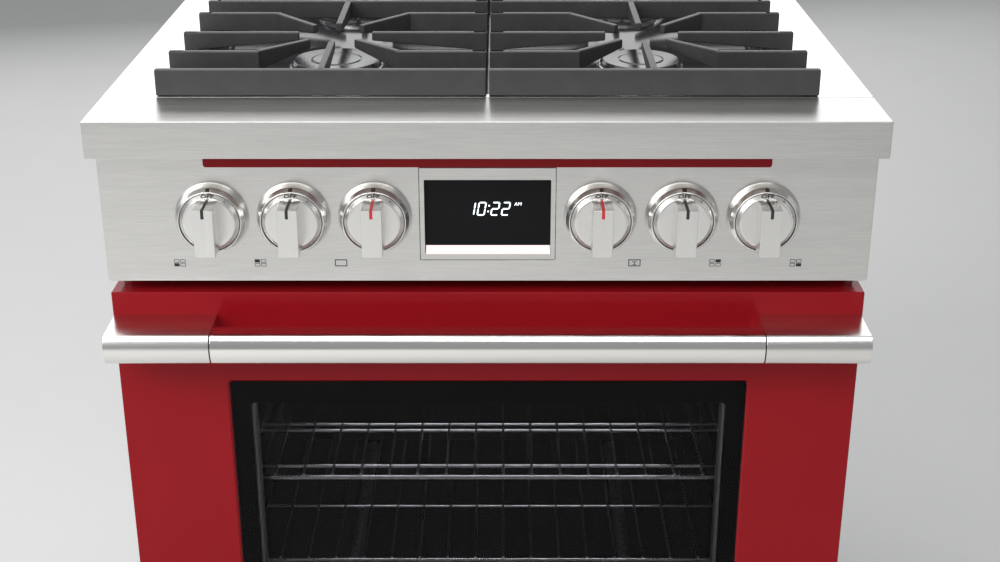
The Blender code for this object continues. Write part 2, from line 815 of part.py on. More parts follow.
def knobs():
    """A chamfered disc with a tall grip across it; all but the mode knob sit on a stem."""
    skirt = [
        (0.0, KNOB_BACK),
        (SKIRT_RADIUS, KNOB_BACK),
        (SKIRT_RADIUS, KNOB_FACE - 0.0035),
        (FACE_RADIUS, KNOB_FACE),
        (0.0, KNOB_FACE),
    ]
    for name, x in knob_places().items():
        centre = (x, PANEL_FRONT_Y, KNOB_Z)
        knob = turned(skirt, centre, (0, -1, 0), KNOB_SEGMENTS)
        grip = box(
            (x - GRIP_WIDTH / 2, PANEL_FRONT_Y - KNOB_REACH, KNOB_Z - GRIP_HEIGHT / 2),
            (x + GRIP_WIDTH / 2, PANEL_FRONT_Y - KNOB_FACE + 0.002, KNOB_Z + GRIP_HEIGHT / 2),
        )
        soften(grip, 0.0006)
        join(knob, grip)
        if name == "oven_mode":
            shaft_back = PANEL_FRONT_Y + SHEET + 0.006
            shaft = rod((x, shaft_back, KNOB_Z), (x, PANEL_FRONT_Y - KNOB_BACK - 0.002, KNOB_Z), STEM_RADIUS)
            join(knob, shaft)
        else:
            bore = rod(
                (x, PANEL_FRONT_Y + CUT_PAST, KNOB_Z),
                (x, PANEL_FRONT_Y - STEM_BORE_END, KNOB_Z),
                STEM_RADIUS + GAP,
            )
            cut(knob, bore)
        done(knob, f"knob_{name}", brushed_steel(), centre, smooth=True)


def valve_stems():
    for name, x in knob_places().items():
        if name == "oven_mode":
            continue
        back = PANEL_FRONT_Y + valve_face() + VALVE_BORE_DEPTH - PUSH_TRAVEL - 0.001
        stem = rod((x, PANEL_FRONT_Y - STEM_END, KNOB_Z), (x, back, KNOB_Z), STEM_RADIUS)
        done(stem, f"valve_stem_{name}", brass(), (x, PANEL_FRONT_Y, KNOB_Z), smooth=True)


def valve_face():
    """From the panel's front face to the front of the valve bodies."""
    return SHEET + 0.012


def gas_manifold():
    """The gas pipe behind the panel with its five valve bodies, and the line to the inlet."""
    pipe_y = PANEL_FRONT_Y + MANIFOLD_BACK
    end = knob_places()["front_right"] + VALVE_SIZE
    line = pipe(
        [
            (-end, pipe_y, KNOB_Z),
            (INLET_X, pipe_y, KNOB_Z),
            (INLET_X, BACK_Y - 0.045, KNOB_Z),
            (INLET_X, BACK_Y - 0.045, inlet_height()),
            (INLET_X, BACK_Y - GAP, inlet_height()),
        ],
        MANIFOLD_RADIUS,
        "line",
    )
    tube = bpy.data.meshes.new_from_object(
        line.evaluated_get(bpy.context.evaluated_depsgraph_get())
    )
    bpy.data.objects.remove(line, do_unlink=True)
    manifold = bpy.data.objects.new("gas_manifold", tube)
    bpy.context.scene.collection.objects.link(manifold)
    bodies = []
    bores = []
    for name, x in knob_places().items():
        if name == "oven_mode":
            continue
        front = PANEL_FRONT_Y + valve_face()
        bodies.append(
            box(
                (x - VALVE_SIZE / 2, front, KNOB_Z - VALVE_SIZE / 2),
                (x + VALVE_SIZE / 2, pipe_y - MANIFOLD_RADIUS / 2, KNOB_Z + VALVE_SIZE / 2),
            )
        )
        bores.append(
            rod(
                (x, front - CUT_PAST, KNOB_Z),
                (x, front + VALVE_BORE_DEPTH, KNOB_Z),
                STEM_RADIUS + GAP,
            )
        )
    join(manifold, *bodies)
    cut(manifold, *bores)
    done(manifold, "gas_manifold", gas_aluminium())


def door_shell(low, high, depth_from, depth_to, half, view, open_side):
    """A sheet box of the door with a window through it, open towards one side in Y."""
    shell = box((-half, depth_from, low), (half, depth_to, high))
    hollow_from = depth_from - CUT_PAST if open_side < 0 else depth_from + SHEET
    hollow_to = depth_to - SHEET if open_side < 0 else depth_to + CUT_PAST
    view_half, view_low, view_high = view
    hollow = box((-half + SHEET, hollow_from, low + SHEET), (half - SHEET, hollow_to, high - SHEET))
    border = SHEET
    core = box(
        (-view_half - border, depth_from, view_low - border),
        (view_half + border, depth_to, view_high + border),
    )
    window = box(
        (-view_half, depth_from - CUT_PAST, view_low),
        (view_half, depth_to + CUT_PAST, view_high),
    )
    cut(shell, hollow)
    join(shell, core)
    cut(shell, window)
    return shell


def hinge_cuts(with_pins):
    """Room for the two fixed hinge barrels in the door's lower rear edge."""
    tools = []
    reach = HINGE_BARREL + NOTCH_CLEARANCE
    for side in SIDES.values():
        middle = side * HINGE_X
        half = HINGE_WIDTH / 2 + NOTCH_CLEARANCE
        tools.append(
            box(
                (middle - half, HINGE_Y - reach, DOOR_BOTTOM_Z - CUT_PAST),
                (middle + half, BODY_FRONT_Y + CUT_PAST, HINGE_Z + reach),
            )
        )
        if with_pins:
            pin = half + PIN_LENGTH
            tools.append(
                rod(
                    (middle - pin, HINGE_Y, HINGE_Z), (middle + pin, HINGE_Y, HINGE_Z), HINGE_PIN + GAP
                )
            )
    return tools


def door():
    """The enamelled outer door, its steel liner, the window glass and the seal."""
    axis = (0.0, HINGE_Y, HINGE_Z)
    skin_back = DOOR_FRONT_Y + SKIN_DEPTH
    skin = door_shell(
        DOOR_BOTTOM_Z,
        DOOR_TOP_Z,
        DOOR_FRONT_Y,
        skin_back,
        WIDTH / 2,
        (WINDOW_HALF, WINDOW_BOTTOM_Z, WINDOW_TOP_Z),
        1,
    )
    cheeks = []
    for side in SIDES.values():
        width = HINGE_WIDTH / 2 + NOTCH_CLEARANCE + PIN_LENGTH + SHEET
        cheeks.append(
            box(
                (side * HINGE_X - width, DOOR_FRONT_Y + SHEET / 2, DOOR_BOTTOM_Z + SHEET / 2),
                (side * HINGE_X + width, skin_back, HINGE_Z + HINGE_BARREL + NOTCH_CLEARANCE + SHEET),
            )
        )
    join(skin, *cheeks)
    cut(skin, *hinge_cuts(True))
    done(skin, "door_panel", red_enamel(), axis)

    liner_front = skin_back + GAP
    liner_half = WIDTH / 2 - LINER_INSET
    view = (WINDOW_HALF - VIEW_BORDER, WINDOW_BOTTOM_Z + VIEW_BORDER, WINDOW_TOP_Z - VIEW_HEAD)
    liner = door_shell(
        DOOR_BOTTOM_Z + HINGE_UP / 2,
        DOOR_TOP_Z - LINER_INSET / 2,
        liner_front,
        liner_front + LINER_DEPTH,
        liner_half,
        view,
        -1,
    )
    cut(liner, *hinge_cuts(False))
    done(liner, "door_liner", polished_steel(), axis)

    glass_front = DOOR_FRONT_Y + GLASS_INSET
    glass = box(
        (-WINDOW_HALF + GAP, glass_front, WINDOW_BOTTOM_Z + GAP),
        (WINDOW_HALF - GAP, glass_front + WINDOW_GLASS, WINDOW_TOP_Z - GAP),
    )
    done(glass, "door_glass", black_glass(), axis)

    seal_front = liner_front + LINER_DEPTH + GAP
    outer, width = 0.018, 0.010
    ring = box(
        (-CAVITY_HALF - outer, seal_front, CAVITY_FLOOR_Z - outer),
        (CAVITY_HALF + outer, seal_front + SEAL_DEPTH, CAVITY_TOP_Z + outer),
    )
    inner = outer - width
    hole = box(
        (-CAVITY_HALF - inner, seal_front - CUT_PAST, CAVITY_FLOOR_Z - inner),
        (CAVITY_HALF + inner, seal_front + CUT_PAST, CAVITY_TOP_Z + inner),
    )
    cut(ring, hole)
    done(ring, "door_gasket", seal_fibre(), axis)


def handle_outline(back_y):
    """The handle's section: flat above, below and behind, with a shallow arc in front."""
    half = HANDLE_HEIGHT / 2
    radius = (half**2 + HANDLE_BULGE**2) / (2 * HANDLE_BULGE)
    middle_z = HANDLE_TOP_Z - half
    centre_y = -DEPTH / 2 + radius
    reach = math.asin(half / radius)
    steps = 8
    outline = [(back_y, HANDLE_TOP_Z)]
    for step in range(steps + 1):
        angle = reach - 2 * reach * step / steps
        outline.append((centre_y - radius * math.cos(angle), middle_z + radius * math.sin(angle)))
    outline.append((back_y, HANDLE_TOP_Z - HANDLE_HEIGHT))
    return outline


def handle():
    """Two solid end brackets on the door's face, and the bar between them."""
    axis = (0.0, HINGE_Y, HINGE_Z)
    bracket_section = handle_outline(DOOR_FRONT_Y - GAP)
    for word, side in SIDES.items():
        near = side * (HANDLE_END_X - BRACKET_WIDTH)
        far = side * HANDLE_END_X
        bracket = prism(bracket_section, "X", near, far)
        done(bracket, f"handle_bracket_{word}", polished_steel(), axis)
    half = HANDLE_END_X - BRACKET_WIDTH - GAP
    bar = prism(handle_outline(-DEPTH / 2 + BAR_DEPTH), "X", -half, half)
    done(bar, "handle_bar", polished_steel(), axis)


def door_hinges():
    """Fixed hinge arms: a barrel and pin on the door's axis, on an arm from the oven's face."""
    for word, side in SIDES.items():
        middle = side * HINGE_X
        half = HINGE_WIDTH / 2
        barrel = rod((middle - half, HINGE_Y, HINGE_Z), (middle + half, HINGE_Y, HINGE_Z), HINGE_BARREL)
        arm = box(
            (middle - half + GAP, HINGE_Y, HINGE_Z - HINGE_BARREL / 2),
            (middle + half - GAP, BODY_FRONT_Y - GAP, HINGE_Z + HINGE_BARREL / 2),
        )
        pin_half = half + NOTCH_CLEARANCE + PIN_LENGTH - GAP
        pin = rod((middle - pin_half, HINGE_Y, HINGE_Z), (middle + pin_half, HINGE_Y, HINGE_Z), HINGE_PIN)
        join(barrel, arm, pin)
        done(barrel, f"door_hinge_{word}", galvanised(), smooth=True)


def rack_levels():
    return {"upper": UPPER_RACK_Z, "lower": LOWER_RACK_Z}


def oven_cavity():
    """The oven's liner: a face frame and a five-sided box with a runner for each rack."""
    front, rear = BODY_FRONT_Y, BODY_FRONT_Y + CAVITY_DEPTH
    face = box((-FACE_HALF, front, HINGE_Z - 2 * HINGE_UP), (FACE_HALF, front + SHEET, PANEL_BOTTOM_Z - GAP))
    shell = box(
        (-CAVITY_HALF - CAVITY_WALL, front + SHEET / 2, CAVITY_FLOOR_Z - CAVITY_WALL),
        (CAVITY_HALF + CAVITY_WALL, rear + CAVITY_WALL, CAVITY_TOP_Z + CAVITY_WALL),
    )
    join(face, shell)
    inside = box(
        (-CAVITY_HALF, front - CUT_PAST, CAVITY_FLOOR_Z), (CAVITY_HALF, rear, CAVITY_TOP_Z)
    )
    shaft = rod((0.0, rear - CUT_PAST, fan_height()), (0.0, rear + 2 * CAVITY_WALL, fan_height()), FAN_HOLE)
    cut(face, inside, shaft)
    runners = []
    for level in rack_levels().values():
        high = level - RACK_THICKNESS - GAP
        for side in SIDES.values():
            runners.append(
                box(
                    *mirrored(
                        side,
                        (CAVITY_HALF - RUNNER_REACH, RACK_FRONT_Y, high - RUNNER),
                        (CAVITY_HALF + CAVITY_WALL / 2, rear - RACK_CLEARANCE, high),
                    )
                )
            )
    join(face, *runners)
    done(face, "oven_cavity", oven_enamel())


def fan_height():
    """The cover stands twice as far from the oven's floor as from its roof."""
    spare = CAVITY_TOP_Z - CAVITY_FLOOR_Z - 2 * COVER_HALF
    return CAVITY_FLOOR_Z + COVER_HALF + spare * 2 / 3


def grid_plate(x_spans, y_spans, low, high):
    """A flat plate that is solid where (x, y) is inside one of the spans in x or in y."""
    xs = sorted({edge for span in x_spans for edge in span})
    ys = sorted({edge for span in y_spans for edge in span})

    def solid(i, j):
        if not (0 <= i < len(xs) - 1 and 0 <= j < len(ys) - 1):
            return False
        x, y = (xs[i] + xs[i + 1]) / 2, (ys[j] + ys[j + 1]) / 2
        in_x = any(start < x < stop for start, stop in x_spans)
        in_y = any(start < y < stop for start, stop in y_spans)
        return in_x or in_y

    shape = bmesh.new()
    verts = {}

    def corner(i, j, z):
        if (i, j, z) not in verts:
            verts[i, j, z] = shape.verts.new((xs[i], ys[j], z))
        return verts[i, j, z]

    for i in range(len(xs) - 1):
        for j in range(len(ys) - 1):
            if not solid(i, j):
                continue
            square = [(i, j), (i + 1, j), (i + 1, j + 1), (i, j + 1)]
            for z in (low, high):
                shape.faces.new([corner(*spot, z) for spot in square])
            beside = [(i, j - 1), (i + 1, j), (i, j + 1), (i - 1, j)]
            for step, other in enumerate(beside):
                if not solid(*other):
                    a, b = square[step], square[(step + 1) % 4]
                    shape.faces.new(
                        [corner(*a, low), corner(*b, low), corner(*b, high), corner(*a, high)]
                    )
    bmesh.ops.dissolve_limit(shape, angle_limit=0.001, verts=shape.verts, edges=shape.edges)
    return mesh_object("tool", shape)


def spread(start, stop, width, count):
    """Spans of one width, evenly set from start to stop, with one at each end."""
    step = (stop - start - width) / (count - 1)
    return [(start + step * index, start + step * index + width) for index in range(count)]


def oven_racks():
    """Wire racks: long wires front to back over a few cross bars."""
    half = CAVITY_HALF - RACK_CLEARANCE
    back = RACK_FRONT_Y + RACK_DEPTH
    for word, level in rack_levels().items():
        sides = [(-half, -half + RACK_FRAME), (half - RACK_FRAME, half)]
        wires = spread(-half + 0.032, half - 0.032, RACK_WIRE, RACK_WIRES)
        bars = spread(RACK_FRONT_Y, back, RACK_FRAME, 4)
        rack = grid_plate(sides + wires, bars, level - RACK_THICKNESS, level)
        done(rack, f"oven_rack_{word}", chrome_wire(), (0.0, RACK_FRONT_Y, level))


def oven_burners():
    """The gas tubes of the oven: one over the floor, one under the roof."""
    front = RACK_FRONT_Y + 0.060
    rear = BODY_FRONT_Y + CAVITY_DEPTH - COVER_DEPTH - 0.040
    heights = {"bake": CAVITY_FLOOR_Z + 0.030, "broil": CAVITY_TOP_Z - 0.026}
    spans = {"bake": CAVITY_HALF * 0.55, "broil": CAVITY_HALF * 0.66}
    for word, height in heights.items():
        span = spans[word]
        route = [(-span, rear, height), (-span, front, height), (span, front, height), (span, rear, height)]
        done(pipe(route, BURNER_TUBE, "tube"), f"{word}_burner", galvanised())


def convection_fan():
    """A star of flat blades and its disc on a shaft, behind a slotted cover on the rear wall."""
    wall = BODY_FRONT_Y + CAVITY_DEPTH
    height = fan_height()
    back = wall - 0.003
    outline = []
    for step in range(FAN_BLADES):
        angle = math.tau * step / FAN_BLADES
        for reach, offset in ((FAN_HUB, -1), (FAN_RADIUS, -1), (FAN_RADIUS, 1), (FAN_HUB, 1)):
            across = offset * FAN_BLADE / 2
            outline.append(
                (
                    reach * math.cos(angle) - across * math.sin(angle),
                    height + reach * math.sin(angle) + across * math.cos(angle),
                )
            )
    fan = prism(outline, "Y", back - FAN_DEPTH, back - 0.001)
    disc = rod((0.0, back - 0.002, height), (0.0, back, height), FAN_RADIUS / 2, 24)
    shaft = rod((0.0, back - 0.001, height), (0.0, wall + CAVITY_WALL / 2, height), FAN_SHAFT)
    join(fan, join(disc, shaft))
    done(fan, "convection_fan", gas_aluminium(), (0.0, wall, height), smooth=True)

    face = wall - COVER_DEPTH
    cover = box(
        (-COVER_HALF, face, height - COVER_HALF), (COVER_HALF, wall - GAP, height + COVER_HALF)
    )
    soften(cover, SHEET / 2)
    behind = box(
        (-COVER_HALF + SHEET, face + SHEET, height - COVER_HALF + SHEET),
        (COVER_HALF - SHEET, wall + CUT_PAST, height + COVER_HALF - SHEET),
    )
    slots = []
    reach = COVER_HALF - 0.025
    for low, high in spread(height - reach, height + reach, 0.010, 7):
        slots.append(box((-reach, face - CUT_PAST, low), (reach, face + CUT_PAST, high)))
    cut(cover, behind, *slots)
    done(cover, "fan_cover", oven_enamel())


def build():
    clear_scene()
    base_frame()
    legs()
    side_panels()
    back_panel()
    kick_panel()
    front_rail()
    cooktop_pan()
    back_trim()
    grates()
    burners()
    control_panel()
    accent_strip()
    display()
    knob_bezels()
    knobs()
    valve_stems()
    gas_manifold()
    oven_cavity()
    oven_racks()
    oven_burners()
    convection_fan()
    door()
    handle()
    door_hinges()


build()
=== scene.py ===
"""Fine shapes and finishes of a 30-inch freestanding gas range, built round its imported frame.

Lengths are in metres, +Z is up and the front faces -Y. Each operator makes one piece, or one
group of like pieces, and the panel in the 3D view's sidebar lists them in the order they run.
Shapes are surfaces of two parameters, worked out as whole arrays and closed on all sides.
"""

import math

import bmesh
import bpy
import numpy as np
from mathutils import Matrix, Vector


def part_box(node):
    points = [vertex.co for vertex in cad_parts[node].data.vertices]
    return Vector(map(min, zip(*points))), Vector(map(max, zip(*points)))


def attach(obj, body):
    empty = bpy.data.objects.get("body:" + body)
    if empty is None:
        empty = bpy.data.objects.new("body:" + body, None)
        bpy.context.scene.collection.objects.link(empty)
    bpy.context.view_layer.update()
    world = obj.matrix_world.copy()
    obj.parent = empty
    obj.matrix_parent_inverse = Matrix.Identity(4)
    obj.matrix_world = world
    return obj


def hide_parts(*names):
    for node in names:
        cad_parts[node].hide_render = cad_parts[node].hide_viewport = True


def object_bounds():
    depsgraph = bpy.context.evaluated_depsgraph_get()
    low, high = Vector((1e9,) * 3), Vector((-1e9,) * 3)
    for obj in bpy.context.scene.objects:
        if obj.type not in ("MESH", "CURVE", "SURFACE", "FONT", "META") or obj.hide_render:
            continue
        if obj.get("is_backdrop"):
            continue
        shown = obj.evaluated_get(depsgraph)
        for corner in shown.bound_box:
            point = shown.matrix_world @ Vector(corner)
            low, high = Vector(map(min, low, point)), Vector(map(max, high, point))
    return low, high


bl_info = {
    "name": "Gas Range",
    "version": (1, 0, 0),
    "blender": (4, 5, 0),
    "location": "3D View > Sidebar > Gas Range",
    "description": "Builds the visible pieces and finishes of a freestanding gas range",
    "category": "Object",
}

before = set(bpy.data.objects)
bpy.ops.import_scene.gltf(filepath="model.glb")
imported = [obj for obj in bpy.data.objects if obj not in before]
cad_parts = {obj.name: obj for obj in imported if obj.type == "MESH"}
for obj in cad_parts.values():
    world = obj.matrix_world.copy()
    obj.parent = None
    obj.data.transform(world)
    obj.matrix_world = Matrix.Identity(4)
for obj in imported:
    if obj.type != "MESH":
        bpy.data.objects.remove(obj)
CAD_LOW, CAD_HIGH = (np.array(corner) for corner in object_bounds())

SIDES = {"left": -1, "right": 1}
ROWS = ("front", "rear")
KNOBS = ("front_left", "rear_left", "oven_temperature", "oven_mode", "rear_right", "front_right")
LEGS = ("front_left", "front_right", "rear_left", "rear_right")
BODY = "range_body"
DOOR = "oven_door"


def corners(node):
    low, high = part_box(node)
    return np.array(low), np.array(high)


RAIL_LOW, RAIL_HIGH = corners("front_rail")
PAN_LOW, PAN_HIGH = corners("cooktop_pan")
PANEL_LOW, PANEL_HIGH = corners("control_panel")
DOOR_LOW, DOOR_HIGH = corners("door_panel")
GLASS_LOW, GLASS_HIGH = corners("door_glass")
CAVITY_LOW = corners("oven_cavity")[0]
RIM = RAIL_HIGH[2]
KNOB_LOW, KNOB_HIGH = corners("knob_front_left")
PAN_FLOOR = corners("burner_head_front_left")[1][2] - 0.012
UP = (0, 0, 1)
FORWARD = (0, -1, 0)  # towards whoever stands at the range
BACKWARD = (0, 1, 0)
SKIN = 0.0012  # sheet thickness of the visible shells
LEG_SLEEVE_TOP = 0.0896  # height of a leg's sleeve above the floor
SIDE_SHEET = 0.0035  # how deep the side panels' pressed sheets reach
SIDE_LIP_RISE = 0.0304  # start of a side panel's front return above its foot
SIDE_LIP_DEPTH = 0.0020  # how far the front return reaches back
HAIRLINE = 0.0001  # gap that keeps two faces apart
FINE = "fine_"
MARK = 0.00015  # how far printed marks stand off what they are printed on


# ---------------------------------------------------------------- surfaces


def skin(points, looped=False):
    """Quads over a grid of rows by columns. Columns close into rings; rows close too if
    looped, and otherwise the first and last rows are filled."""
    points = np.asarray(points, float)
    rows, columns = points.shape[:2]
    index = np.arange(rows * columns).reshape(rows, columns)
    index = np.concatenate([index, index[:, :1]], axis=1)
    if looped:
        index = np.concatenate([index, index[:1]], axis=0)
    quads = np.stack([index[:-1, :-1], index[:-1, 1:], index[1:, 1:], index[1:, :-1]], axis=-1)
    faces = quads.reshape(-1, 4).tolist()
    if not looped:
        faces.append(index[0, :columns][::-1].tolist())
        faces.append(index[-1, :columns].tolist())
    return points.reshape(-1, 3), faces


def plate(grid, push):
    """A grid of points made a closed plate: the grid, and the grid plus push, joined all round."""
    grid = np.asarray(grid, float)
    rows, columns = grid.shape[:2]
    index = np.arange(rows * columns).reshape(rows, columns)
    quads = np.stack([index[:-1, :-1], index[:-1, 1:], index[1:, 1:], index[1:, :-1]], axis=-1)
    quads = quads.reshape(-1, 4)
    border = np.concatenate([index[0, :-1], index[:-1, -1], index[-1, :0:-1], index[:0:-1, 0]])
    after = np.roll(border, -1)
    lift = rows * columns
    sides = np.stack([border, after, after + lift, border + lift], axis=-1)
    points = np.concatenate([grid.reshape(-1, 3), (grid + push).reshape(-1, 3)])
    faces = np.concatenate([quads[:, ::-1], quads + lift, sides]).tolist()
    return points, faces


def oblong(half_x, half_y, radius, steps=5):
    """Rectangles with round corners, one a row: a quarter circle of the given radius, moved to
    each corner in turn."""
    quarter = np.radians(np.linspace(0, 90, steps))
    turn = (quarter[None, :] + np.radians([0, 90, 180, 270])[:, None]).ravel()
    side_x = np.repeat([1, -1, -1, 1], steps)
    side_y = np.repeat([1, 1, -1, -1], steps)
    half_x, half_y, radius = (np.atleast_1d(value)[:, None] for value in (half_x, half_y, radius))
    x = side_x * (half_x - radius) + radius * np.cos(turn)
    y = side_y * (half_y - radius) + radius * np.sin(turn)
    return np.stack([x, y], axis=-1)


def lifted(flat, distance, axis):
    """Flat (first, second) points given their distance along X, Y or Z (axis 0, 1 or 2)."""
    distance = np.broadcast_to(distance, flat.shape[:-1])
    columns = [flat[..., 0], flat[..., 1]]
    columns.insert(axis, distance)
    return np.stack(columns, axis=-1)


def stacked(rows, axis, steps=5):
    """Rounded rectangles as rings: each row is (low, high, corner radius, distance)."""
    low = np.array([row[0] for row in rows])
    high = np.array([row[1] for row in rows])
    radius = np.array([row[2] for row in rows])
    distance = np.array([row[3] for row in rows])
    half = (high - low) / 2
    flat = oblong(half[:, 0], half[:, 1], radius, steps) + ((low + high) / 2)[:, None, :]
    return lifted(flat, distance[:, None], axis)


def easing(edge, steps=4):
    """Insets and rises of a quarter round: edge * (1 - sin t) and edge * (1 - cos t)."""
    turn = np.linspace(0, np.pi / 2, steps)
    return edge * (1 - np.sin(turn)), edge * (1 - np.cos(turn))


def slab(low, high, axis, corner, edge, steps=4):
    """A plate with rounded corners, whose outline shrinks in a quarter round at both faces."""
    low, high = np.array(low, float), np.array(high, float)
    flat_low, flat_high = np.delete(low, axis), np.delete(high, axis)
    inset, rise = easing(edge, steps)
    rows = []
    for pinch, climb in zip(inset, rise):
        rows.append((flat_low + pinch, flat_high - pinch, max(corner - pinch, edge / 20), low[axis] + climb))
    for pinch, climb in zip(inset[::-1], rise[::-1]):
        rows.append((flat_low + pinch, flat_high - pinch, max(corner - pinch, edge / 20), high[axis] - climb))
    return skin(stacked(rows, axis, 6))


def outline_normals(outline):
    step = np.roll(outline, -1, 0) - np.roll(outline, 1, 0)
    normal = np.stack([step[:, 1], -step[:, 0]], axis=1)
    normal /= np.linalg.norm(normal, axis=1, keepdims=True)
    following = np.roll(outline, -1, 0)
    area = (outline[:, 0] * following[:, 1] - following[:, 0] * outline[:, 1]).sum()
    return normal * np.sign(area)


def carried(outline, start, stop, axis, edge):
    """A closed outline carried straight along an axis, inset along its normals at both ends."""
    outline = np.asarray(outline, float)
    inset, rise = easing(edge)
    pinch = np.concatenate([inset, inset[::-1]])
    along = np.concatenate([start + rise, stop - rise[::-1]])
    rows = outline[None] - outline_normals(outline)[None] * pinch[:, None, None]
    return skin(lifted(rows, along[:, None], axis))


def filleted(points, radius, steps=6, looped=False):
    """Each corner c becomes (1-t)^2 a + 2t(1-t) c + t^2 b, where a and b lie a radius before
    and after it."""
    points = np.array(points, float)
    if looped:
        before, corner, after = np.roll(points, 1, 0), points, np.roll(points, -1, 0)
    else:
        before, corner, after = points[:-2], points[1:-1], points[2:]
    into = before - corner
    away = after - corner
    into = corner + radius * into / np.linalg.norm(into, axis=1, keepdims=True)
    away = corner + radius * away / np.linalg.norm(away, axis=1, keepdims=True)
    t = np.linspace(0, 1, steps)[None, :, None]
    curve = (1 - t) ** 2 * into[:, None] + 2 * t * (1 - t) * corner[:, None] + t**2 * away[:, None]
    curve = curve.reshape(-1, points.shape[1])
    if looped:
        return curve
    return np.concatenate([points[:1], curve, points[-1:]])


def tube(path, radius, up, sides=12, looped=False):
    """A circle carried along a path: side = tangent x up, over = side x tangent, and each ring
    is the path's point plus radius * (side cos a + over sin a)."""
    path = np.array(path, float)
    if looped:
        tangent = np.roll(path, -1, 0) - np.roll(path, 1, 0)
    else:
        tangent = np.gradient(path, axis=0)
    tangent /= np.linalg.norm(tangent, axis=1, keepdims=True)
    side = np.cross(tangent, up)
    side /= np.linalg.norm(side, axis=1, keepdims=True)
    over = np.cross(side, tangent)
    angle = np.linspace(0, 2 * np.pi, sides, endpoint=False)[None, :, None]
    ring = radius * (side[:, None] * np.cos(angle) + over[:, None] * np.sin(angle))
    return skin(path[:, None] + ring, looped)


def turned(profile, centre, axis, segments=64, looped=False, ripple=None):
    """Points (r, h) of a profile turned about an axis: centre + h axis + r (u cos a + v sin a).
    ripple(a) times the profile's optional third value is added to r."""
    profile = np.array([tuple(point) + (0.0,) * (3 - len(point)) for point in profile])
    angle = np.linspace(0, 2 * np.pi, segments, endpoint=False)
    axis = np.array(axis, float)
    first = np.cross(axis, (0.0, 0.0, 1.0)) if abs(axis[2]) < 0.9 else np.array((1.0, 0.0, 0.0))
    second = np.cross(axis, first)
    radius = np.repeat(profile[:, :1], segments, axis=1)
    if ripple is not None:
        radius = radius + profile[:, 2:3] * ripple(angle)[None, :]
    around = np.cos(angle)[None, :, None] * first + np.sin(angle)[None, :, None] * second
    return skin(np.array(centre) + profile[:, 1, None, None] * axis + radius[..., None] * around, looped)


def blade(start, stop, width, drops, top, edge):
    """An upright bar: a rounded oblong carried from start to stop, its underside rising from
    one drop to the other, and its ends rounded over."""
    start, stop = np.array(start, float), np.array(stop, float)
    length = np.linalg.norm(stop - start)
    along = (stop - start) / length
    across = np.array([-along[1], along[0]])
    inset, rise = easing(edge, 3)
    pinch = np.concatenate([inset, inset[::-1]])
    travel = np.concatenate([rise, length - rise[::-1]])
    drop = drops[0] + (drops[1] - drops[0]) * travel / length
    section = oblong(width / 2 - pinch, drop / 2 - pinch, np.full_like(pinch, edge) - pinch * 0.8, 3)
    ground = start + along * travel[:, None]
    flat = ground[:, None, :] + section[..., :1] * across
    height = (top - drop / 2)[:, None] + section[..., 1]
    return skin(np.concatenate([flat, height[..., None]], axis=-1))


def flat_shape(outline, front, thickness=MARK):
    """An (x, z) outline made a thin closed plate that stands off a face looking towards -Y."""
    outline = np.asarray(outline, float)
    rows = np.stack([outline, outline])
    return skin(lifted(rows, np.array([[front - thickness], [front]]), 1))


def lettering(text, size, bold=0.0, thickness=MARK):
    """Plain letters as a mesh: points (x across, y up, z out) centred on the origin."""
    curve = bpy.data.curves.new("lettering", "FONT")
    curve.body = text
    curve.size = size
    curve.extrude = thickness / 2
    curve.offset = size * bold
    curve.align_x = "CENTER"
    curve.align_y = "CENTER"
    holder = bpy.data.objects.new("lettering", curve)
    bpy.context.scene.collection.objects.link(holder)
    graph = bpy.context.evaluated_depsgraph_get()
    mesh = bpy.data.meshes.new_from_object(holder.evaluated_get(graph))
    points = np.empty(len(mesh.vertices) * 3)
    mesh.vertices.foreach_get("co", points)
    faces = [list(face.vertices) for face in mesh.polygons]
    bpy.data.objects.remove(holder)
    bpy.data.meshes.remove(mesh)
    return points.reshape(-1, 3), faces


def built(name, parts, sharp=38.0):
    """An object from (points, faces) parts: doubles merged, faces turned out, smooth but for
    edges over the sharp angle."""
    points = np.concatenate([part[0] for part in parts])
    starts = np.cumsum([0] + [len(part[0]) for part in parts])
    faces = [[corner + start for corner in face] for start, part in zip(starts, parts) for face in part[1]]
    mesh = bpy.data.meshes.new(name)
    mesh.from_pydata(points.tolist(), [], faces)
    shape = bmesh.new()
    shape.from_mesh(mesh)
    bmesh.ops.remove_doubles(shape, verts=shape.verts, dist=1e-7)
    bmesh.ops.recalc_face_normals(shape, faces=shape.faces)
    shape.to_mesh(mesh)
    shape.free()
    mesh.shade_smooth()
    mesh.set_sharp_from_angle(angle=math.radians(sharp))
    obj = bpy.data.objects.new(name, mesh)
    bpy.context.scene.collection.objects.link(obj)
    return obj


def opened(obj, boxes):
    """Cuts boxes, given as (low, high) corners, out of an object with one Boolean."""
    if not boxes:
        return obj
    cutter = built(
        "cutter",
        [slab(low, high, axis=2, corner=0.0002, edge=0.0001, steps=2) for low, high in boxes],
    )
    step = obj.modifiers.new("Opening", "BOOLEAN")
    step.operation = "DIFFERENCE"
    step.solver = "EXACT"
    step.object = cutter
    graph = bpy.context.evaluated_depsgraph_get()
    made = bpy.data.meshes.new_from_object(obj.evaluated_get(graph))
    obj.modifiers.clear()
    obj.data = made
    bpy.data.objects.remove(cutter, do_unlink=True)
    obj.data.set_sharp_from_angle(angle=math.radians(38))
    return obj


def piece(name, parts, finish, body, stands_for=(), sharp=38.0, openings=()):
    obj = opened(built(name, parts, sharp), openings)
    flat_faces = obj.modifiers.new("Flat Faces", "WEIGHTED_NORMAL")  # rounded edges don't tilt them
    flat_faces.keep_sharp = True
    obj.data.materials.clear()
    obj.data.materials.append(finish)
    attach(obj, body)
    if stands_for:
        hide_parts(*stands_for)
    return obj


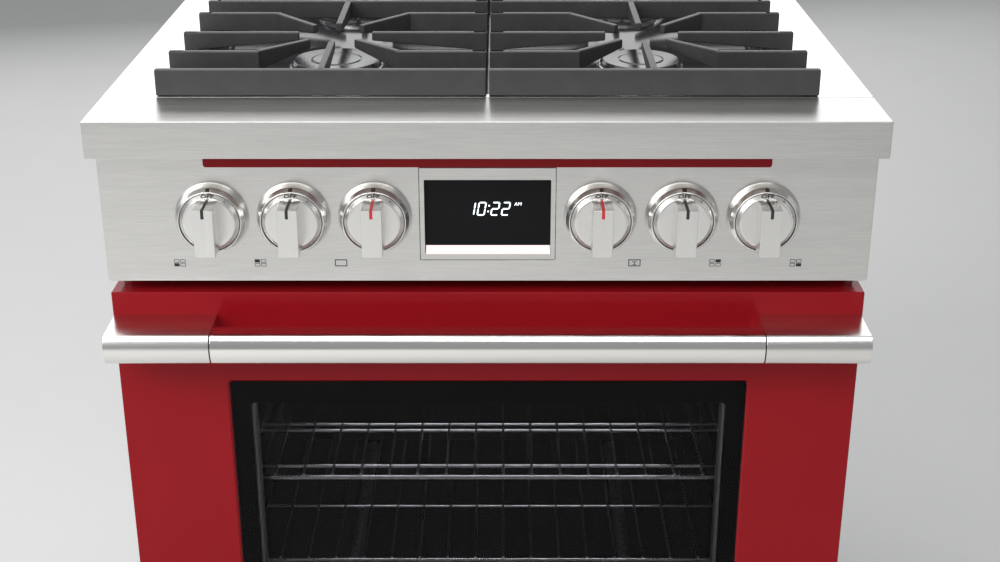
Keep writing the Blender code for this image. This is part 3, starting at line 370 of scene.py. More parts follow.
def dress(nodes, finish):
    """Gives CAD nodes whose shape is right their detailed finish."""
    for node in nodes:
        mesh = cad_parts[node].data
        mesh.materials.clear()
        mesh.materials.append(finish)


# ---------------------------------------------------------------- finishes


def looks():
    return bpy.context.scene.gas_range


def new_group(name, inputs, outputs):
    """An empty node group with float or vector inputs and float outputs."""
    group = bpy.data.node_groups.new(name, "ShaderNodeTree")
    for label, kind, value in inputs:
        socket = group.interface.new_socket(label, in_out="INPUT", socket_type=kind)
        socket.default_value = value
    for label in outputs:
        group.interface.new_socket(label, in_out="OUTPUT", socket_type="NodeSocketFloat")
    return group, group.nodes.new("NodeGroupInput"), group.nodes.new("NodeGroupOutput")


def noise(group, vector, scale, detail, roughness=0.55):
    node = group.nodes.new("ShaderNodeTexNoise")
    node.inputs["Scale"].default_value = scale
    node.inputs["Detail"].default_value = detail
    node.inputs["Roughness"].default_value = roughness
    group.links.new(vector, node.inputs["Vector"])
    return node.outputs[0]


def arithmetic(group, operation, first, second):
    node = group.nodes.new("ShaderNodeMath")
    node.operation = operation
    for socket, value in zip(node.inputs, (first, second)):
        if isinstance(value, (int, float)):
            socket.default_value = value
        else:
            group.links.new(value, socket)
    return node.outputs[0]


def stretched_coordinates(group, given, factor=1.0):
    """Object coordinates times the group's Stretch, which sets the pattern's fineness."""
    place = group.nodes.new("ShaderNodeTexCoord")
    scale = group.nodes.new("ShaderNodeVectorMath")
    scale.operation = "MULTIPLY"
    group.links.new(place.outputs["Object"], scale.inputs[0])
    group.links.new(given.outputs["Stretch"], scale.inputs[1])
    if factor == 1.0:
        return scale.outputs[0]
    shrink = group.nodes.new("ShaderNodeVectorMath")
    shrink.operation = "SCALE"
    shrink.inputs["Scale"].default_value = factor
    group.links.new(scale.outputs[0], shrink.inputs[0])
    return shrink.outputs[0]


def grain_group():
    """Stretched noise: fine hairlines for Height, and hairlines with broad streaks for Tone."""
    group, given, out = new_group(
        "grain", [("Stretch", "NodeSocketVector", (10.0, 900.0, 900.0))], ["Tone", "Height"]
    )
    fine = noise(group, stretched_coordinates(group, given), 1.0, 3.0, 0.6)
    broad = noise(group, stretched_coordinates(group, given, 0.11), 1.0, 4.0, 0.5)
    tone = arithmetic(
        group, "ADD", arithmetic(group, "MULTIPLY", fine, 0.6), arithmetic(group, "MULTIPLY", broad, 0.4)
    )
    group.links.new(tone, out.inputs["Tone"])
    group.links.new(fine, out.inputs["Height"])
    return group


def casting_group():
    """Sand-cast skin: grainy height from two noises, and slow patches with grains for Tone."""
    group, given, out = new_group(
        "casting", [("Stretch", "NodeSocketVector", (1.0, 1.0, 1.0))], ["Tone", "Height"]
    )
    place = stretched_coordinates(group, given)
    grains = noise(group, place, 900.0, 3.0, 0.7)
    lumps = noise(group, place, 160.0, 4.0, 0.6)
    height = arithmetic(group, "ADD", arithmetic(group, "MULTIPLY", grains, 0.6), lumps)
    patches = arithmetic(group, "MULTIPLY", noise(group, place, 45.0, 5.0, 0.6), 0.4)
    specks = arithmetic(group, "MULTIPLY", grains, 0.6)
    group.links.new(arithmetic(group, "ADD", patches, specks), out.inputs["Tone"])
    group.links.new(height, out.inputs["Height"])
    return group


def enamel_group():
    """Fired enamel: a faint orange peel for Height, and slow drifts with fine flecks for Tone."""
    group, given, out = new_group(
        "enamel", [("Stretch", "NodeSocketVector", (1.0, 1.0, 1.0))], ["Tone", "Height", "Flecks"]
    )
    place = stretched_coordinates(group, given)
    group.links.new(noise(group, place, 7.0, 3.0), out.inputs["Tone"])
    group.links.new(noise(group, place, 220.0, 2.0), out.inputs["Height"])
    cells = group.nodes.new("ShaderNodeTexVoronoi")
    cells.inputs["Scale"].default_value = 420.0
    group.links.new(place, cells.inputs["Vector"])
    near = arithmetic(group, "LESS_THAN", cells.outputs["Distance"], 0.16)
    group.links.new(near, out.inputs["Flecks"])
    return group


def spangle_group():
    """Zinc crystals: one random tone for each Voronoi cell, with a faint step between them."""
    group, given, out = new_group(
        "spangle", [("Stretch", "NodeSocketVector", (1.0, 1.0, 1.0))], ["Tone", "Height"]
    )
    place = stretched_coordinates(group, given)
    cells = group.nodes.new("ShaderNodeTexVoronoi")
    cells.inputs["Scale"].default_value = 75.0
    group.links.new(place, cells.inputs["Vector"])
    split = group.nodes.new("ShaderNodeSeparateColor")
    group.links.new(cells.outputs["Color"], split.inputs[0])
    group.links.new(split.outputs[0], out.inputs["Tone"])
    group.links.new(noise(group, place, 300.0, 2.0), out.inputs["Height"])
    return group


def weave_group():
    """A plaited sleeve: the larger of two slanted sine waves is the Height and the Tone."""
    group, given, out = new_group(
        "weave", [("Stretch", "NodeSocketVector", (1.0, 1.0, 1.0))], ["Tone", "Height"]
    )
    place = stretched_coordinates(group, given)
    split = group.nodes.new("ShaderNodeSeparateXYZ")
    group.links.new(place, split.inputs[0])
    waves = []
    for sign in (1.0, -1.0):
        slant = arithmetic(
            group, "ADD", split.outputs["X"], arithmetic(group, "MULTIPLY", split.outputs["Z"], sign)
        )
        waves.append(arithmetic(group, "SINE", arithmetic(group, "MULTIPLY", slant, 2200.0), 0.0))
    height = arithmetic(group, "MAXIMUM", waves[0], waves[1])
    group.links.new(height, out.inputs["Height"])
    # Tone follows Height, so the hollows between strands are darker: painted shade
    group.links.new(height, out.inputs["Tone"])
    return group


def group_named(name):
    makers = {
        "grain": grain_group,
        "casting": casting_group,
        "enamel": enamel_group,
        "spangle": spangle_group,
        "weave": weave_group,
    }
    return bpy.data.node_groups.get(name) or makers[name]()


def principled(name, colour, roughness, metallic=0.0, **sockets):
    made = bpy.data.materials.new(FINE + name)
    made.use_nodes = True
    shader = made.node_tree.nodes["Principled BSDF"]
    shader.inputs["Base Color"].default_value = (*colour, 1.0)
    shader.inputs["Roughness"].default_value = roughness
    shader.inputs["Metallic"].default_value = metallic
    for label, value in sockets.items():
        shader.inputs[label.replace("_", " ")].default_value = value
    return made


def patterned(made, group, colours, roughness, strength, depth, stretch=(1.0, 1.0, 1.0), mask="Tone"):
    """Runs a group's Tone into Base Color between two colours and into Roughness between two
    values, and its Height into a Bump of the given strength and depth."""
    tree = made.node_tree
    shader = tree.nodes["Principled BSDF"]
    pattern = tree.nodes.new("ShaderNodeGroup")
    pattern.node_tree = group_named(group)
    pattern.inputs["Stretch"].default_value = stretch
    blend = tree.nodes.new("ShaderNodeMix")
    blend.data_type = "RGBA"
    blend.inputs[6].default_value = (*colours[0], 1.0)
    blend.inputs[7].default_value = (*colours[1], 1.0)
    tree.links.new(pattern.outputs[mask], blend.inputs[0])
    tree.links.new(blend.outputs[2], shader.inputs["Base Color"])
    spread = tree.nodes.new("ShaderNodeMapRange")
    spread.inputs["To Min"].default_value = roughness[0]
    spread.inputs["To Max"].default_value = roughness[1]
    tree.links.new(pattern.outputs["Tone"], spread.inputs["Value"])
    tree.links.new(spread.outputs[0], shader.inputs["Roughness"])
    bump = tree.nodes.new("ShaderNodeBump")
    bump.inputs["Strength"].default_value = strength
    bump.inputs["Distance"].default_value = depth
    tree.links.new(pattern.outputs["Height"], bump.inputs["Height"])
    tree.links.new(bump.outputs["Normal"], shader.inputs["Normal"])
    return made


def shade(colour, amount):
    return tuple(value * amount for value in colour)


ALONG_X = (28.0, 620.0, 620.0)
ALONG_Y = (620.0, 28.0, 620.0)
ALONG_Z = (620.0, 620.0, 28.0)


def steel(name, stretch):
    colour = looks().steel
    made = principled(name, colour, roughness=0.3, metallic=1.0)
    return patterned(
        made,
        "grain",
        colours=(shade(colour, 0.74), shade(colour, 1.18)),
        roughness=(0.24, 0.38),
        strength=0.16,
        depth=0.00014,
        stretch=stretch,
    )


def steel_across():
    """Satin stainless steel, brushed from side to side."""
    return steel("steel_across", ALONG_X)


def steel_ledge():
    """The cooktop's ledges: the same steel with a finer, shinier grain."""
    colour = looks().steel
    made = principled("steel_ledge", colour, roughness=0.2, metallic=1.0)
    return patterned(
        made,
        "grain",
        colours=(shade(colour, 0.92), shade(colour, 1.10)),
        roughness=(0.10, 0.20),
        strength=0.04,
        depth=0.00008,
        stretch=ALONG_X,
    )


def bright_steel():
    """Polished steel of the handle's bar and the legs."""
    colour = shade(looks().steel, 1.20)
    made = principled("bright_steel", colour, roughness=0.14, metallic=1.0)
    return patterned(
        made,
        "grain",
        colours=(shade(colour, 0.92), shade(colour, 1.05)),
        roughness=(0.10, 0.19),
        strength=0.05,
        depth=0.00008,
        stretch=ALONG_X,
    )


def reflection_tinted_steel():
    """The display's polished reveal. Its base colour is darker and redder than the steel round it: a painted
    reflection of the red accent strip and the darker steel near it.
    """
    # dark reddish colours: painted reflection of the red strip, not the steel's own tint
    made = principled("reflection_tinted_steel", (0.30, 0.25, 0.245), roughness=0.06, metallic=1.0)
    return patterned(
        made,
        "grain",
        colours=((0.27, 0.22, 0.215), (0.33, 0.28, 0.275)),
        roughness=(0.04, 0.09),
        strength=0.02,
        depth=0.00005,
        stretch=ALONG_X,
    )


def satin_steel():
    """The softer polish of the handle's brackets and the knobs' bezels."""
    colour = shade(looks().steel, 1.16)
    made = principled("satin_steel", colour, roughness=0.24, metallic=1.0)
    return patterned(
        made,
        "grain",
        colours=(shade(colour, 0.84), shade(colour, 1.08)),
        roughness=(0.18, 0.28),
        strength=0.10,
        depth=0.0001,
        stretch=ALONG_X,
    )


def knob_steel():
    """Knobs, brushed up and down."""
    colour = shade(looks().steel, 1.14)
    made = principled("knob_steel", colour, roughness=0.26, metallic=1.0)
    return patterned(
        made,
        "grain",
        colours=(shade(colour, 0.82), shade(colour, 1.10)),
        roughness=(0.20, 0.32),
        strength=0.10,
        depth=0.0001,
        stretch=ALONG_Z,
    )


def red_enamel():
    colour = looks().enamel
    made = principled("red_enamel", colour, roughness=0.12, metallic=0.0, Specular_IOR_Level=0.13)
    return patterned(
        made,
        "enamel",
        colours=(shade(colour, 0.92), shade(colour, 1.07)),
        roughness=(0.09, 0.16),
        strength=0.03,
        depth=0.00005,
    )


def pan_enamel():
    """Black porcelain of the sunk pan, almost a mirror."""
    made = principled(
        "pan_enamel", (0.02, 0.02, 0.022), roughness=0.07, metallic=0.0, Specular_IOR_Level=0.22
    )
    return patterned(
        made,
        "enamel",
        colours=((0.013, 0.013, 0.015), (0.030, 0.030, 0.033)),
        roughness=(0.05, 0.12),
        strength=0.05,
        depth=0.00008,
    )


def cap_enamel():
    made = principled(
        "cap_enamel",
        (0.014, 0.014, 0.016),
        roughness=0.16,
        metallic=0.0,
        Coat_Weight=0.1,
        Coat_Roughness=0.08,
    )
    return patterned(
        made,
        "enamel",
        colours=((0.010, 0.010, 0.012), (0.024, 0.024, 0.027)),
        roughness=(0.12, 0.26),
        strength=0.10,
        depth=0.00012,
    )


def oven_enamel():
    """Dark oven enamel with fine pale flecks."""
    made = principled("oven_enamel", (0.008, 0.009, 0.011), roughness=0.3, Specular_IOR_Level=0.25)
    flecked = ((0.0065, 0.007, 0.009), (0.07, 0.075, 0.09))
    return patterned(
        made, "enamel", colours=flecked, roughness=(0.24, 0.36), strength=0.12, depth=0.0001, mask="Flecks"
    )


def cast_iron():
    colour = looks().iron
    made = principled("cast_iron", colour, roughness=0.45)
    return patterned(
        made,
        "casting",
        colours=(shade(colour, 0.25), shade(colour, 1.9)),
        roughness=(0.34, 0.56),
        strength=0.55,
        depth=0.0004,
    )


def burner_metal():
    made = principled("burner_metal", (0.62, 0.61, 0.60), roughness=0.28, metallic=1.0)
    return patterned(
        made,
        "grain",
        colours=((0.50, 0.49, 0.48), (0.70, 0.69, 0.68)),
        roughness=(0.20, 0.36),
        strength=0.06,
        depth=0.0001,
        stretch=(120.0, 120.0, 900.0),
    )


def gas_metal():
    made = principled("gas_metal", (0.60, 0.60, 0.61), roughness=0.4, metallic=1.0)
    return patterned(
        made,
        "casting",
        colours=((0.48, 0.48, 0.49), (0.68, 0.68, 0.69)),
        roughness=(0.32, 0.48),
        strength=0.15,
        depth=0.0001,
    )


def zinc_sheet():
    made = principled("zinc_sheet", (0.42, 0.43, 0.44), roughness=0.42, metallic=0.9)
    return patterned(
        made,
        "spangle",
        colours=((0.40, 0.41, 0.42), (0.47, 0.48, 0.49)),
        roughness=(0.36, 0.46),
        strength=0.06,
        depth=0.0001,
    )


def plated_wire():
    made = principled("plated_wire", (0.70, 0.70, 0.70), roughness=0.22, metallic=1.0)
    return patterned(
        made,
        "casting",
        colours=((0.60, 0.60, 0.60), (0.76, 0.76, 0.76)),
        roughness=(0.16, 0.32),
        strength=0.08,
        depth=0.00005,
    )


def brass_metal():
    made = principled("brass_metal", (0.60, 0.43, 0.18), roughness=0.3, metallic=1.0)
    return patterned(
        made,
        "grain",
        colours=((0.50, 0.35, 0.14), (0.66, 0.48, 0.22)),
        roughness=(0.22, 0.36),
        strength=0.05,
        depth=0.0001,
        stretch=ALONG_Y,
    )


def seal_fibre():
    made = principled("seal_fibre", (0.09, 0.09, 0.09), roughness=0.85)
    return patterned(
        made,
        "weave",
        colours=((0.05, 0.05, 0.05), (0.14, 0.14, 0.14)),
        roughness=(0.75, 0.9),
        strength=0.6,
        depth=0.0004,
    )


def dark_plastic():
    made = principled("dark_plastic", (0.02, 0.02, 0.022), roughness=0.45)
    return patterned(
        made,
        "casting",
        colours=((0.016, 0.016, 0.018), (0.028, 0.028, 0.030)),
        roughness=(0.4, 0.55),
        strength=0.15,
        depth=0.0001,
    )


def porcelain():
    made = principled("porcelain", (0.75, 0.73, 0.68), roughness=0.35)
    return patterned(
        made,
        "enamel",
        colours=((0.70, 0.68, 0.62), (0.80, 0.78, 0.74)),
        roughness=(0.28, 0.42),
        strength=0.08,
        depth=0.0001,
    )


def window_glass():
    """Grey-tinted see-through glass. Its index is below real glass, about 1.5, so that the
    room's reflection doesn't hide the racks."""
    return principled(
        "window_glass", looks().glass, roughness=0.02, metallic=0.0, Transmission_Weight=1.0, IOR=1.12
    )


def display_black():
    made = principled(
        "display_black", (0.004, 0.004, 0.005), roughness=0.08, metallic=0.0, Specular_IOR_Level=0.12
    )
    return patterned(
        made,
        "enamel",
        colours=((0.003, 0.003, 0.004), (0.007, 0.007, 0.008)),
        roughness=(0.06, 0.12),
        strength=0.01,
        depth=0.00005,
    )


def glass_print():
    made = principled("glass_print", (0.004, 0.004, 0.0045), roughness=0.25, Specular_IOR_Level=0.03)
    return patterned(
        made,
        "enamel",
        colours=((0.0035, 0.0035, 0.004), (0.006, 0.006, 0.0065)),
        roughness=(0.2, 0.3),
        strength=0.02,
        depth=0.00005,
    )


def black_ink():
    made = principled("black_ink", (0.015, 0.015, 0.015), roughness=0.5)
    return patterned(
        made,
        "casting",
        colours=((0.010, 0.010, 0.010), (0.022, 0.022, 0.022)),
        roughness=(0.42, 0.58),
        strength=0.05,
        depth=0.00003,
    )


def red_ink():
    made = principled("red_ink", (0.50, 0.012, 0.02), roughness=0.35)
    return patterned(
        made,
        "casting",
        colours=((0.42, 0.010, 0.016), (0.58, 0.018, 0.028)),
        roughness=(0.3, 0.42),
        strength=0.05,
        depth=0.00003,
    )


def clock_light():
    return principled(
        "clock_light",
        (0.8, 0.85, 0.9),
        roughness=0.4,
        Emission_Color=(0.85, 0.93, 1.0, 1.0),
        Emission_Strength=1.6,
    )


def floor_paint():
    made = principled("floor_paint", looks().floor, roughness=0.6)
    colour = looks().floor
    return patterned(
        made,
        "enamel",
        colours=(shade(colour, 0.97), shade(colour, 1.03)),
        roughness=(0.55, 0.7),
        strength=0.02,
        depth=0.0002,
    )


def finish(maker):
    """The maker's material, made on first use. The prefix keeps it apart from the frame's own."""
    return bpy.data.materials.get(FINE + maker.__name__) or maker()


# ---------------------------------------------------------------- cooktop

GRATE_FOOT = 0.0155
PAN_MARGIN = 0.0115
WELL_X = corners("grate_right")[1][0] - GRATE_FOOT
WELL_LOW = np.array([-WELL_X, PAN_LOW[1] + PAN_MARGIN])
WELL_HIGH = np.array([WELL_X, PAN_HIGH[1] - PAN_MARGIN])


def build_front_rail():
    """The deep front rail: a soft-edged slab, its section a rounded oblong carried along X."""
    edge = looks().edge
    parts = [slab(RAIL_LOW, RAIL_HIGH, axis=0, corner=edge, edge=edge, steps=5)]
    piece("rail_shell", parts, finish(steel_across), BODY, ["front_rail"])


def build_cooktop():
    """Steel ledges round the well, and the black pan: rings of rounded rectangles that turn
    over the ledge's inner edge, go down the wall and run in to the floor."""
    edge = looks().edge
    outer_low, outer_high = PAN_LOW[:2], PAN_HIGH[:2]
    inset, rise = easing(edge, 5)
    lip = 0.002
    rows = [(WELL_LOW - lip, WELL_HIGH + lip, 0.016, PAN_LOW[2])]
    rows.append((outer_low, outer_high, 0.002, PAN_LOW[2]))
    for pinch, climb in zip(inset[::-1], rise[::-1]):
        rows.append((outer_low + pinch, outer_high - pinch, 0.002, RIM - climb))
    roll = 0.0022
    turn = np.linspace(0, np.pi / 2, 5)
    for angle in turn:
        outset = roll * (1 - np.sin(angle))
        rows.append((WELL_LOW - outset, WELL_HIGH + outset, 0.014 + outset, RIM - roll * (1 - np.cos(angle))))
    rows.append((WELL_LOW, WELL_HIGH, 0.014, RIM - 0.006))
    rows.append((WELL_LOW - lip, WELL_HIGH + lip, 0.016, RIM - 0.006))
    ledges = skin(stacked(rows, 2, 7), looped=True)
    piece("cooktop_ledges", [ledges], finish(steel_ledge), BODY, ["cooktop_pan"])

    fillet = 0.010
    gap = 0.0003
    rows = [(WELL_LOW + gap, WELL_HIGH - gap, 0.014, RIM - 0.0035)]
    for angle in np.linspace(0, np.pi / 2, 6):
        inward = gap + 0.001 + fillet * (1 - np.cos(angle))
        height = PAN_FLOOR + fillet * (1 - np.sin(angle))
        rows.append((WELL_LOW + inward, WELL_HIGH - inward, 0.014, height))
    inner = stacked(rows, 2, 7)
    below = stacked(
        [(low, high, radius, height - SKIN) for low, high, radius, height in rows[:0:-1]]
        + [(WELL_LOW + gap, WELL_HIGH - gap, 0.014, PAN_FLOOR)],
        2,
        7,
    )
    floor = skin(np.concatenate([below[-1:] - (0, 0, SKIN), inner]))
    piece("cooktop_well", [floor], finish(pan_enamel), BODY)
    build_burner_seats()


def burner_places():
    """Each burner's row, side and centre on the pan's floor."""
    for row in ROWS:
        for word in SIDES:
            low, high = corners(f"burner_cap_{row}_{word}")
            centre = (low + high) / 2
            yield row, word, np.array([centre[0], centre[1], PAN_FLOOR]), (high - low)[0] / 2 + 0.003


def build_burner_seats():
    """A low pressed ring in the pan round each burner."""
    parts = []
    for _, _, centre, radius in burner_places():
        outer = radius + 0.016
        profile = [
            (radius * 0.62, -0.0004),
            (outer, -0.0004),
            (outer, 0.0002),
            (outer - 0.004, 0.0022),
            (outer - 0.009, 0.0024),
            (radius * 0.62, 0.0008),
        ]
        profile = filleted(profile, 0.0006, 3, True)
        parts.append(turned(profile, centre, UP, 72, looped=True))
    piece("burner_seats", parts, finish(pan_enamel), BODY)


def build_burners():
    """Heads with flame notches, r = R - depth * notch(angle) low on the side, under round caps
    with a raised inner disc; a ceramic igniter beside each."""
    for row, word, centre, radius in burner_places():
        ports = 28 if word == "left" else 24
        sides = ports * 8

        def notch(angle):
            return -np.clip(np.cos(angle * ports) * 3.0 - 0.6, 0, 1)

        neck = 0.027
        profile = [
            (neck - 0.004, 0.0005, 0.0),
            (neck + 0.004, 0.0005, 0.0),
            (radius - 0.004, 0.0010, 0.0),
            (radius - 0.0022, 0.0016, 0.0),
            (radius - 0.0014, 0.0024, 0.0034),
            (radius - 0.0010, 0.0048, 0.0034),
            (radius - 0.0006, 0.0056, 0.0),
            (radius, 0.0066, 0.0),
            (radius, 0.0100, 0.0),
            (radius - 0.0005, 0.0112, 0.0),
            (radius - 0.0016, 0.0119, 0.0),
            (radius - 0.006, 0.0119, 0.0),
            (neck - 0.004, 0.0119, 0.0),
        ]
        parts = [turned(profile, centre, UP, sides, looped=True, ripple=notch)]
        name = f"burner_head_{row}_{word}"
        piece(f"flame_{name}", parts, finish(burner_metal), BODY, [name], 30.0)
        low, high = corners(f"burner_cap_{row}_{word}")
        rim = radius - 0.002
        base = low[2] - PAN_FLOOR
        top = high[2] - PAN_FLOOR
        cap = filleted(
            [
                (0.0, base),
                (rim - 0.001, base),
                (rim, base + 0.0022),
                (rim - 0.003, top - 0.0008),
                (rim * 0.56, top - 0.0012),
                (rim * 0.52, top - 0.0004),
                (0.0, top),
            ],
            0.0009,
            5,
        )
        name = f"burner_cap_{row}_{word}"
        piece(
            f"round_{name}", [turned(cap, centre, UP, 96)], finish(cap_enamel), BODY, [name]
        )
        build_igniter(row, word, centre, radius)


def build_igniter(row, word, centre, radius):
    """A stepped ceramic post with a steel tip, on the side of the burner nearest the middle."""
    inward = -SIDES[word]
    place = centre + np.array([inward * (radius + 0.0052) * 0.8, (radius + 0.0052) * 0.6, 0.0])
    post = filleted(
        [(0.0, -0.001), (0.0036, -0.001), (0.0036, 0.003), (0.0024, 0.0045), (0.0024, 0.0095), (0.0, 0.0098)],
        0.0004,
        3,
    )
    tip = filleted([(0.0, 0.009), (0.0007, 0.009), (0.0007, 0.0122), (0.0, 0.0126)], 0.0002, 3)
    name = f"igniter_{row}_{word}"
    piece(name, [turned(post, place, UP, 24)], finish(porcelain), BODY)
    piece(f"{name}_tip", [turned(tip, place, UP, 12)], finish(plated_wire), BODY)


def grate_bars(word):
    """All bars of one grate as (start, stop, width, drops): end bars, crossbar, and for each
    burner its straight fingers, its bent fingers and the two from the bars."""
    low, high = corners(f"grate_{word}")
    middle = (low[0] + high[0]) / 2
    end_width, width = 0.008, 0.007
    cross_y = (low[1] + high[1]) / 2
    full = high[2] - low[2] - 0.0004
    deep, tip_drop = 0.020, 0.009
    bars = [
        ((low[0], low[1] + end_width / 2), (high[0], low[1] + end_width / 2), end_width, (full, full)),
        ((low[0], high[1] - end_width / 2), (high[0], high[1] - end_width / 2), end_width, (full, full)),
        ((low[0], cross_y), (high[0], cross_y), width, (deep, deep)),
    ]
    teeth = [cross_y]
    for facing, row in ((-1, "front"), (1, "rear")):
        centre = [spot for r, w, spot, _ in burner_places() if r == row and w == word][0]
        rows = (centre[1], centre[1] + facing * 0.081, centre[1] - facing * 0.090)
        teeth += rows
        for outward, edge in ((-1, low[0]), (1, high[0])):
            bars.append(((edge, rows[0]), (middle + outward * 0.039, rows[0]), width, (deep, tip_drop)))
            bend = middle + outward * 0.072
            tip_x = middle + outward * 0.025
            for way, bar_y in ((facing, rows[1]), (-facing, rows[2])):
                bars.append(((edge, bar_y), (bend - outward * width / 3, bar_y), width, (deep, deep)))
                bars.append(
                    (
                        (bend + outward * width / 4, bar_y),
                        (tip_x, centre[1] + way * 0.031),
                        width,
                        (deep, tip_drop),
                    )
                )
        end_y = low[1] if facing < 0 else high[1]
        for way, bar_y in ((facing, end_y - facing * end_width / 2), (-facing, cross_y)):
            bars.append(((middle, bar_y), (middle, centre[1] + way * 0.039), width, (deep, tip_drop)))
    for tooth_y in teeth:
        for start in (low[0], high[0] - GRATE_FOOT):
            bars.append(
                ((start, tooth_y), (start + GRATE_FOOT, tooth_y), width * 0.96, (full - 0.003, full - 0.003))
            )
    return bars, low, high


def build_grates():
    """Cast grates: rounded upright bars on two low side rails."""
    edge = looks().cast_edge
    for word in SIDES:
        bars, low, high = grate_bars(word)
        parts = [blade(*bar, high[2], edge) for bar in bars]
        for start in (low[0], high[0] - GRATE_FOOT):
            rail_low = (start, low[1] + 0.003, low[2])
            rail_high = (start + GRATE_FOOT, high[1] - 0.003, low[2] + 0.0068)
            parts.append(slab(rail_low, rail_high, axis=2, corner=0.002, edge=edge, steps=3))
        name = f"grate_{word}"
        piece(f"cast_{name}", parts, finish(cast_iron), name, [name], 50.0)


# ---------------------------------------------------------------- control panel


def framed(outer, inner, front, back, edge, axis=1, sheet=SKIN, lip=None, bevel=None):
    """A folded frame as one closed loop of rings: opening, front face, rounded edge, side, and
    the same again inside. outer and inner are (low, high, corner radius); front may lie
    before or behind back."""
    way = 1.0 if back > front else -1.0
    outer_low, outer_high, outer_radius = outer
    inner_low, inner_high, inner_radius = inner
    lip = sheet if lip is None else lip
    bevel = edge / 3 if bevel is None else bevel
    inset, rise = easing(edge, 5)
    rows = [(inner_low, inner_high, inner_radius, front + way * lip)]
    rows.append((inner_low, inner_high, inner_radius, front + way * bevel))
    rows.append((inner_low - bevel, inner_high + bevel, inner_radius + bevel, front))
    for pinch, climb in zip(inset, rise):
        rows.append((outer_low + pinch, outer_high - pinch, outer_radius, front + way * climb))
    rows.append((outer_low, outer_high, outer_radius, back))
    rows.append((outer_low + sheet, outer_high - sheet, outer_radius, back))
    rows.append((outer_low + sheet, outer_high - sheet, outer_radius, front + way * lip))
    return skin(stacked(rows, axis, 5), looped=True)


def flat(corner, axis=1):
    return np.delete(np.array(corner), axis)


def build_control_panel():
    """The folded front panel round the display's opening, and the enamelled accent strip."""
    bezel_low, bezel_high = corners("display_bezel")
    gap = 0.0004
    outer = (flat(PANEL_LOW), flat(PANEL_HIGH), 0.002)
    inner = (flat(bezel_low) - gap, flat(bezel_high) + gap, 0.0006)
    shell = framed(outer, inner, PANEL_LOW[1], PANEL_HIGH[1], looks().edge)
    piece("panel_shell", [shell], finish(steel_across), BODY, ["control_panel"])
    strip_low, strip_high = corners("accent_strip")
    strip = slab(strip_low, strip_high, axis=1, corner=0.0028, edge=0.0007, steps=4)
    piece("accent_bar", [strip], finish(red_enamel), BODY, ["accent_strip"])


def build_display():
    """The display's frame with its sloping sill, and the black glass with the lit time."""
    low, high = corners("display_bezel")
    glass_low, glass_high = corners("display_glass")
    overlap = 0.0029
    sill = 0.0025
    open_low, open_high = flat(glass_low) + (overlap, overlap + sill), flat(glass_high) - overlap
    front, back = low[1], high[1]
    slope = back - front + sill
    mouth_low, mouth_high = open_low - (0.0008, slope), open_high + 0.0008
    rows = [
        (mouth_low, mouth_high, 0.001, back),
        (mouth_low, mouth_high, 0.001, front),
        (flat(low) + 0.0003, flat(high) - 0.0003, 0.0008, front),
        (flat(low), flat(high), 0.0008, front + 0.0003),
        (flat(low), flat(high), 0.0008, back),
    ]
    surround = skin(stacked(rows, 1, 5), looped=True)
    piece("display_surround", [surround], finish(steel_across), BODY, ["display_bezel"])
    rows = [
        (mouth_low, mouth_high, 0.001, back),
        (open_low, open_high, 0.0008, back),
        (mouth_low + 0.0001, mouth_high - 0.0001, 0.001, front + 0.0002),
        (mouth_low, mouth_high, 0.001, front + 0.0002),
    ]
    reveal = skin(stacked(rows, 1, 5), looped=True)
    piece("display_reveal", [reveal], finish(reflection_tinted_steel), BODY)
    glass = slab(glass_low, glass_high, axis=1, corner=0.002, edge=0.0004, steps=3)
    piece("display_pane", [glass], finish(display_black), BODY, ["display_glass"])
    build_clock(glass_low[1])


CLOCK_SEGMENTS = {"0": "abcdef", "1": "bc", "2": "abdeg"}


def clock_digit(number, left, middle, width, height, front):
    """Seven-segment bars: pointed hexagons, sheared by a sixth of their height."""
    stroke = width * 0.19
    reach = height / 2
    bars = {
        "a": ((0, reach), (width, reach)),
        "b": ((width, reach), (width, 0)),
        "c": ((width, 0), (width, -reach)),
        "d": ((0, -reach), (width, -reach)),
        "e": ((0, 0), (0, -reach)),
        "f": ((0, reach), (0, 0)),
        "g": ((0, 0), (width, 0)),
    }
    parts = []
    for letter in CLOCK_SEGMENTS[number]:
        start, stop = (np.array(end, float) for end in bars[letter])
        along = (stop - start) / np.linalg.norm(stop - start)
        across = np.array([-along[1], along[0]]) * stroke / 2
        start, stop = start + along * stroke * 0.15, stop - along * stroke * 0.15
        tip = along * stroke / 2
        outline = np.array(
            [
                start,
                start + tip + across,
                stop - tip + across,
                stop,
                stop - tip - across,
                start + tip - across,
            ]
        )
        outline[:, 0] += outline[:, 1] / 6
        parts.append(flat_shape(outline + (left, middle), front))
    return parts


def build_clock(front):
    """The time in white: two pairs of digits, a colon and a small mark for the morning."""
    middle = RIM - 0.1030
    width, height, pitch = 0.0067, 0.0130, 0.0104
    parts = []
    for step, number in enumerate("1022"):
        left = -0.0196 + pitch * step + (0.0030 if step > 1 else 0.0)
        parts += clock_digit(number, left, middle, width, height, front)
    for lift in (-0.0028, 0.0032):
        dot = oblong(0.0007, 0.0008, 0.0002, 2)[0] + (0.0010 + lift / 6, middle + lift)
        parts.append(flat_shape(dot, front))
    points, faces = lettering("AM", 0.0050)
    slanted = points[:, 0] + points[:, 1] / 6 + 0.0300
    morning = np.stack([slanted, front - MARK - points[:, 2], points[:, 1] + middle + 0.0048], axis=1)
    parts.append((morning, faces))
    piece("clock_digits", parts, finish(clock_light), BODY)


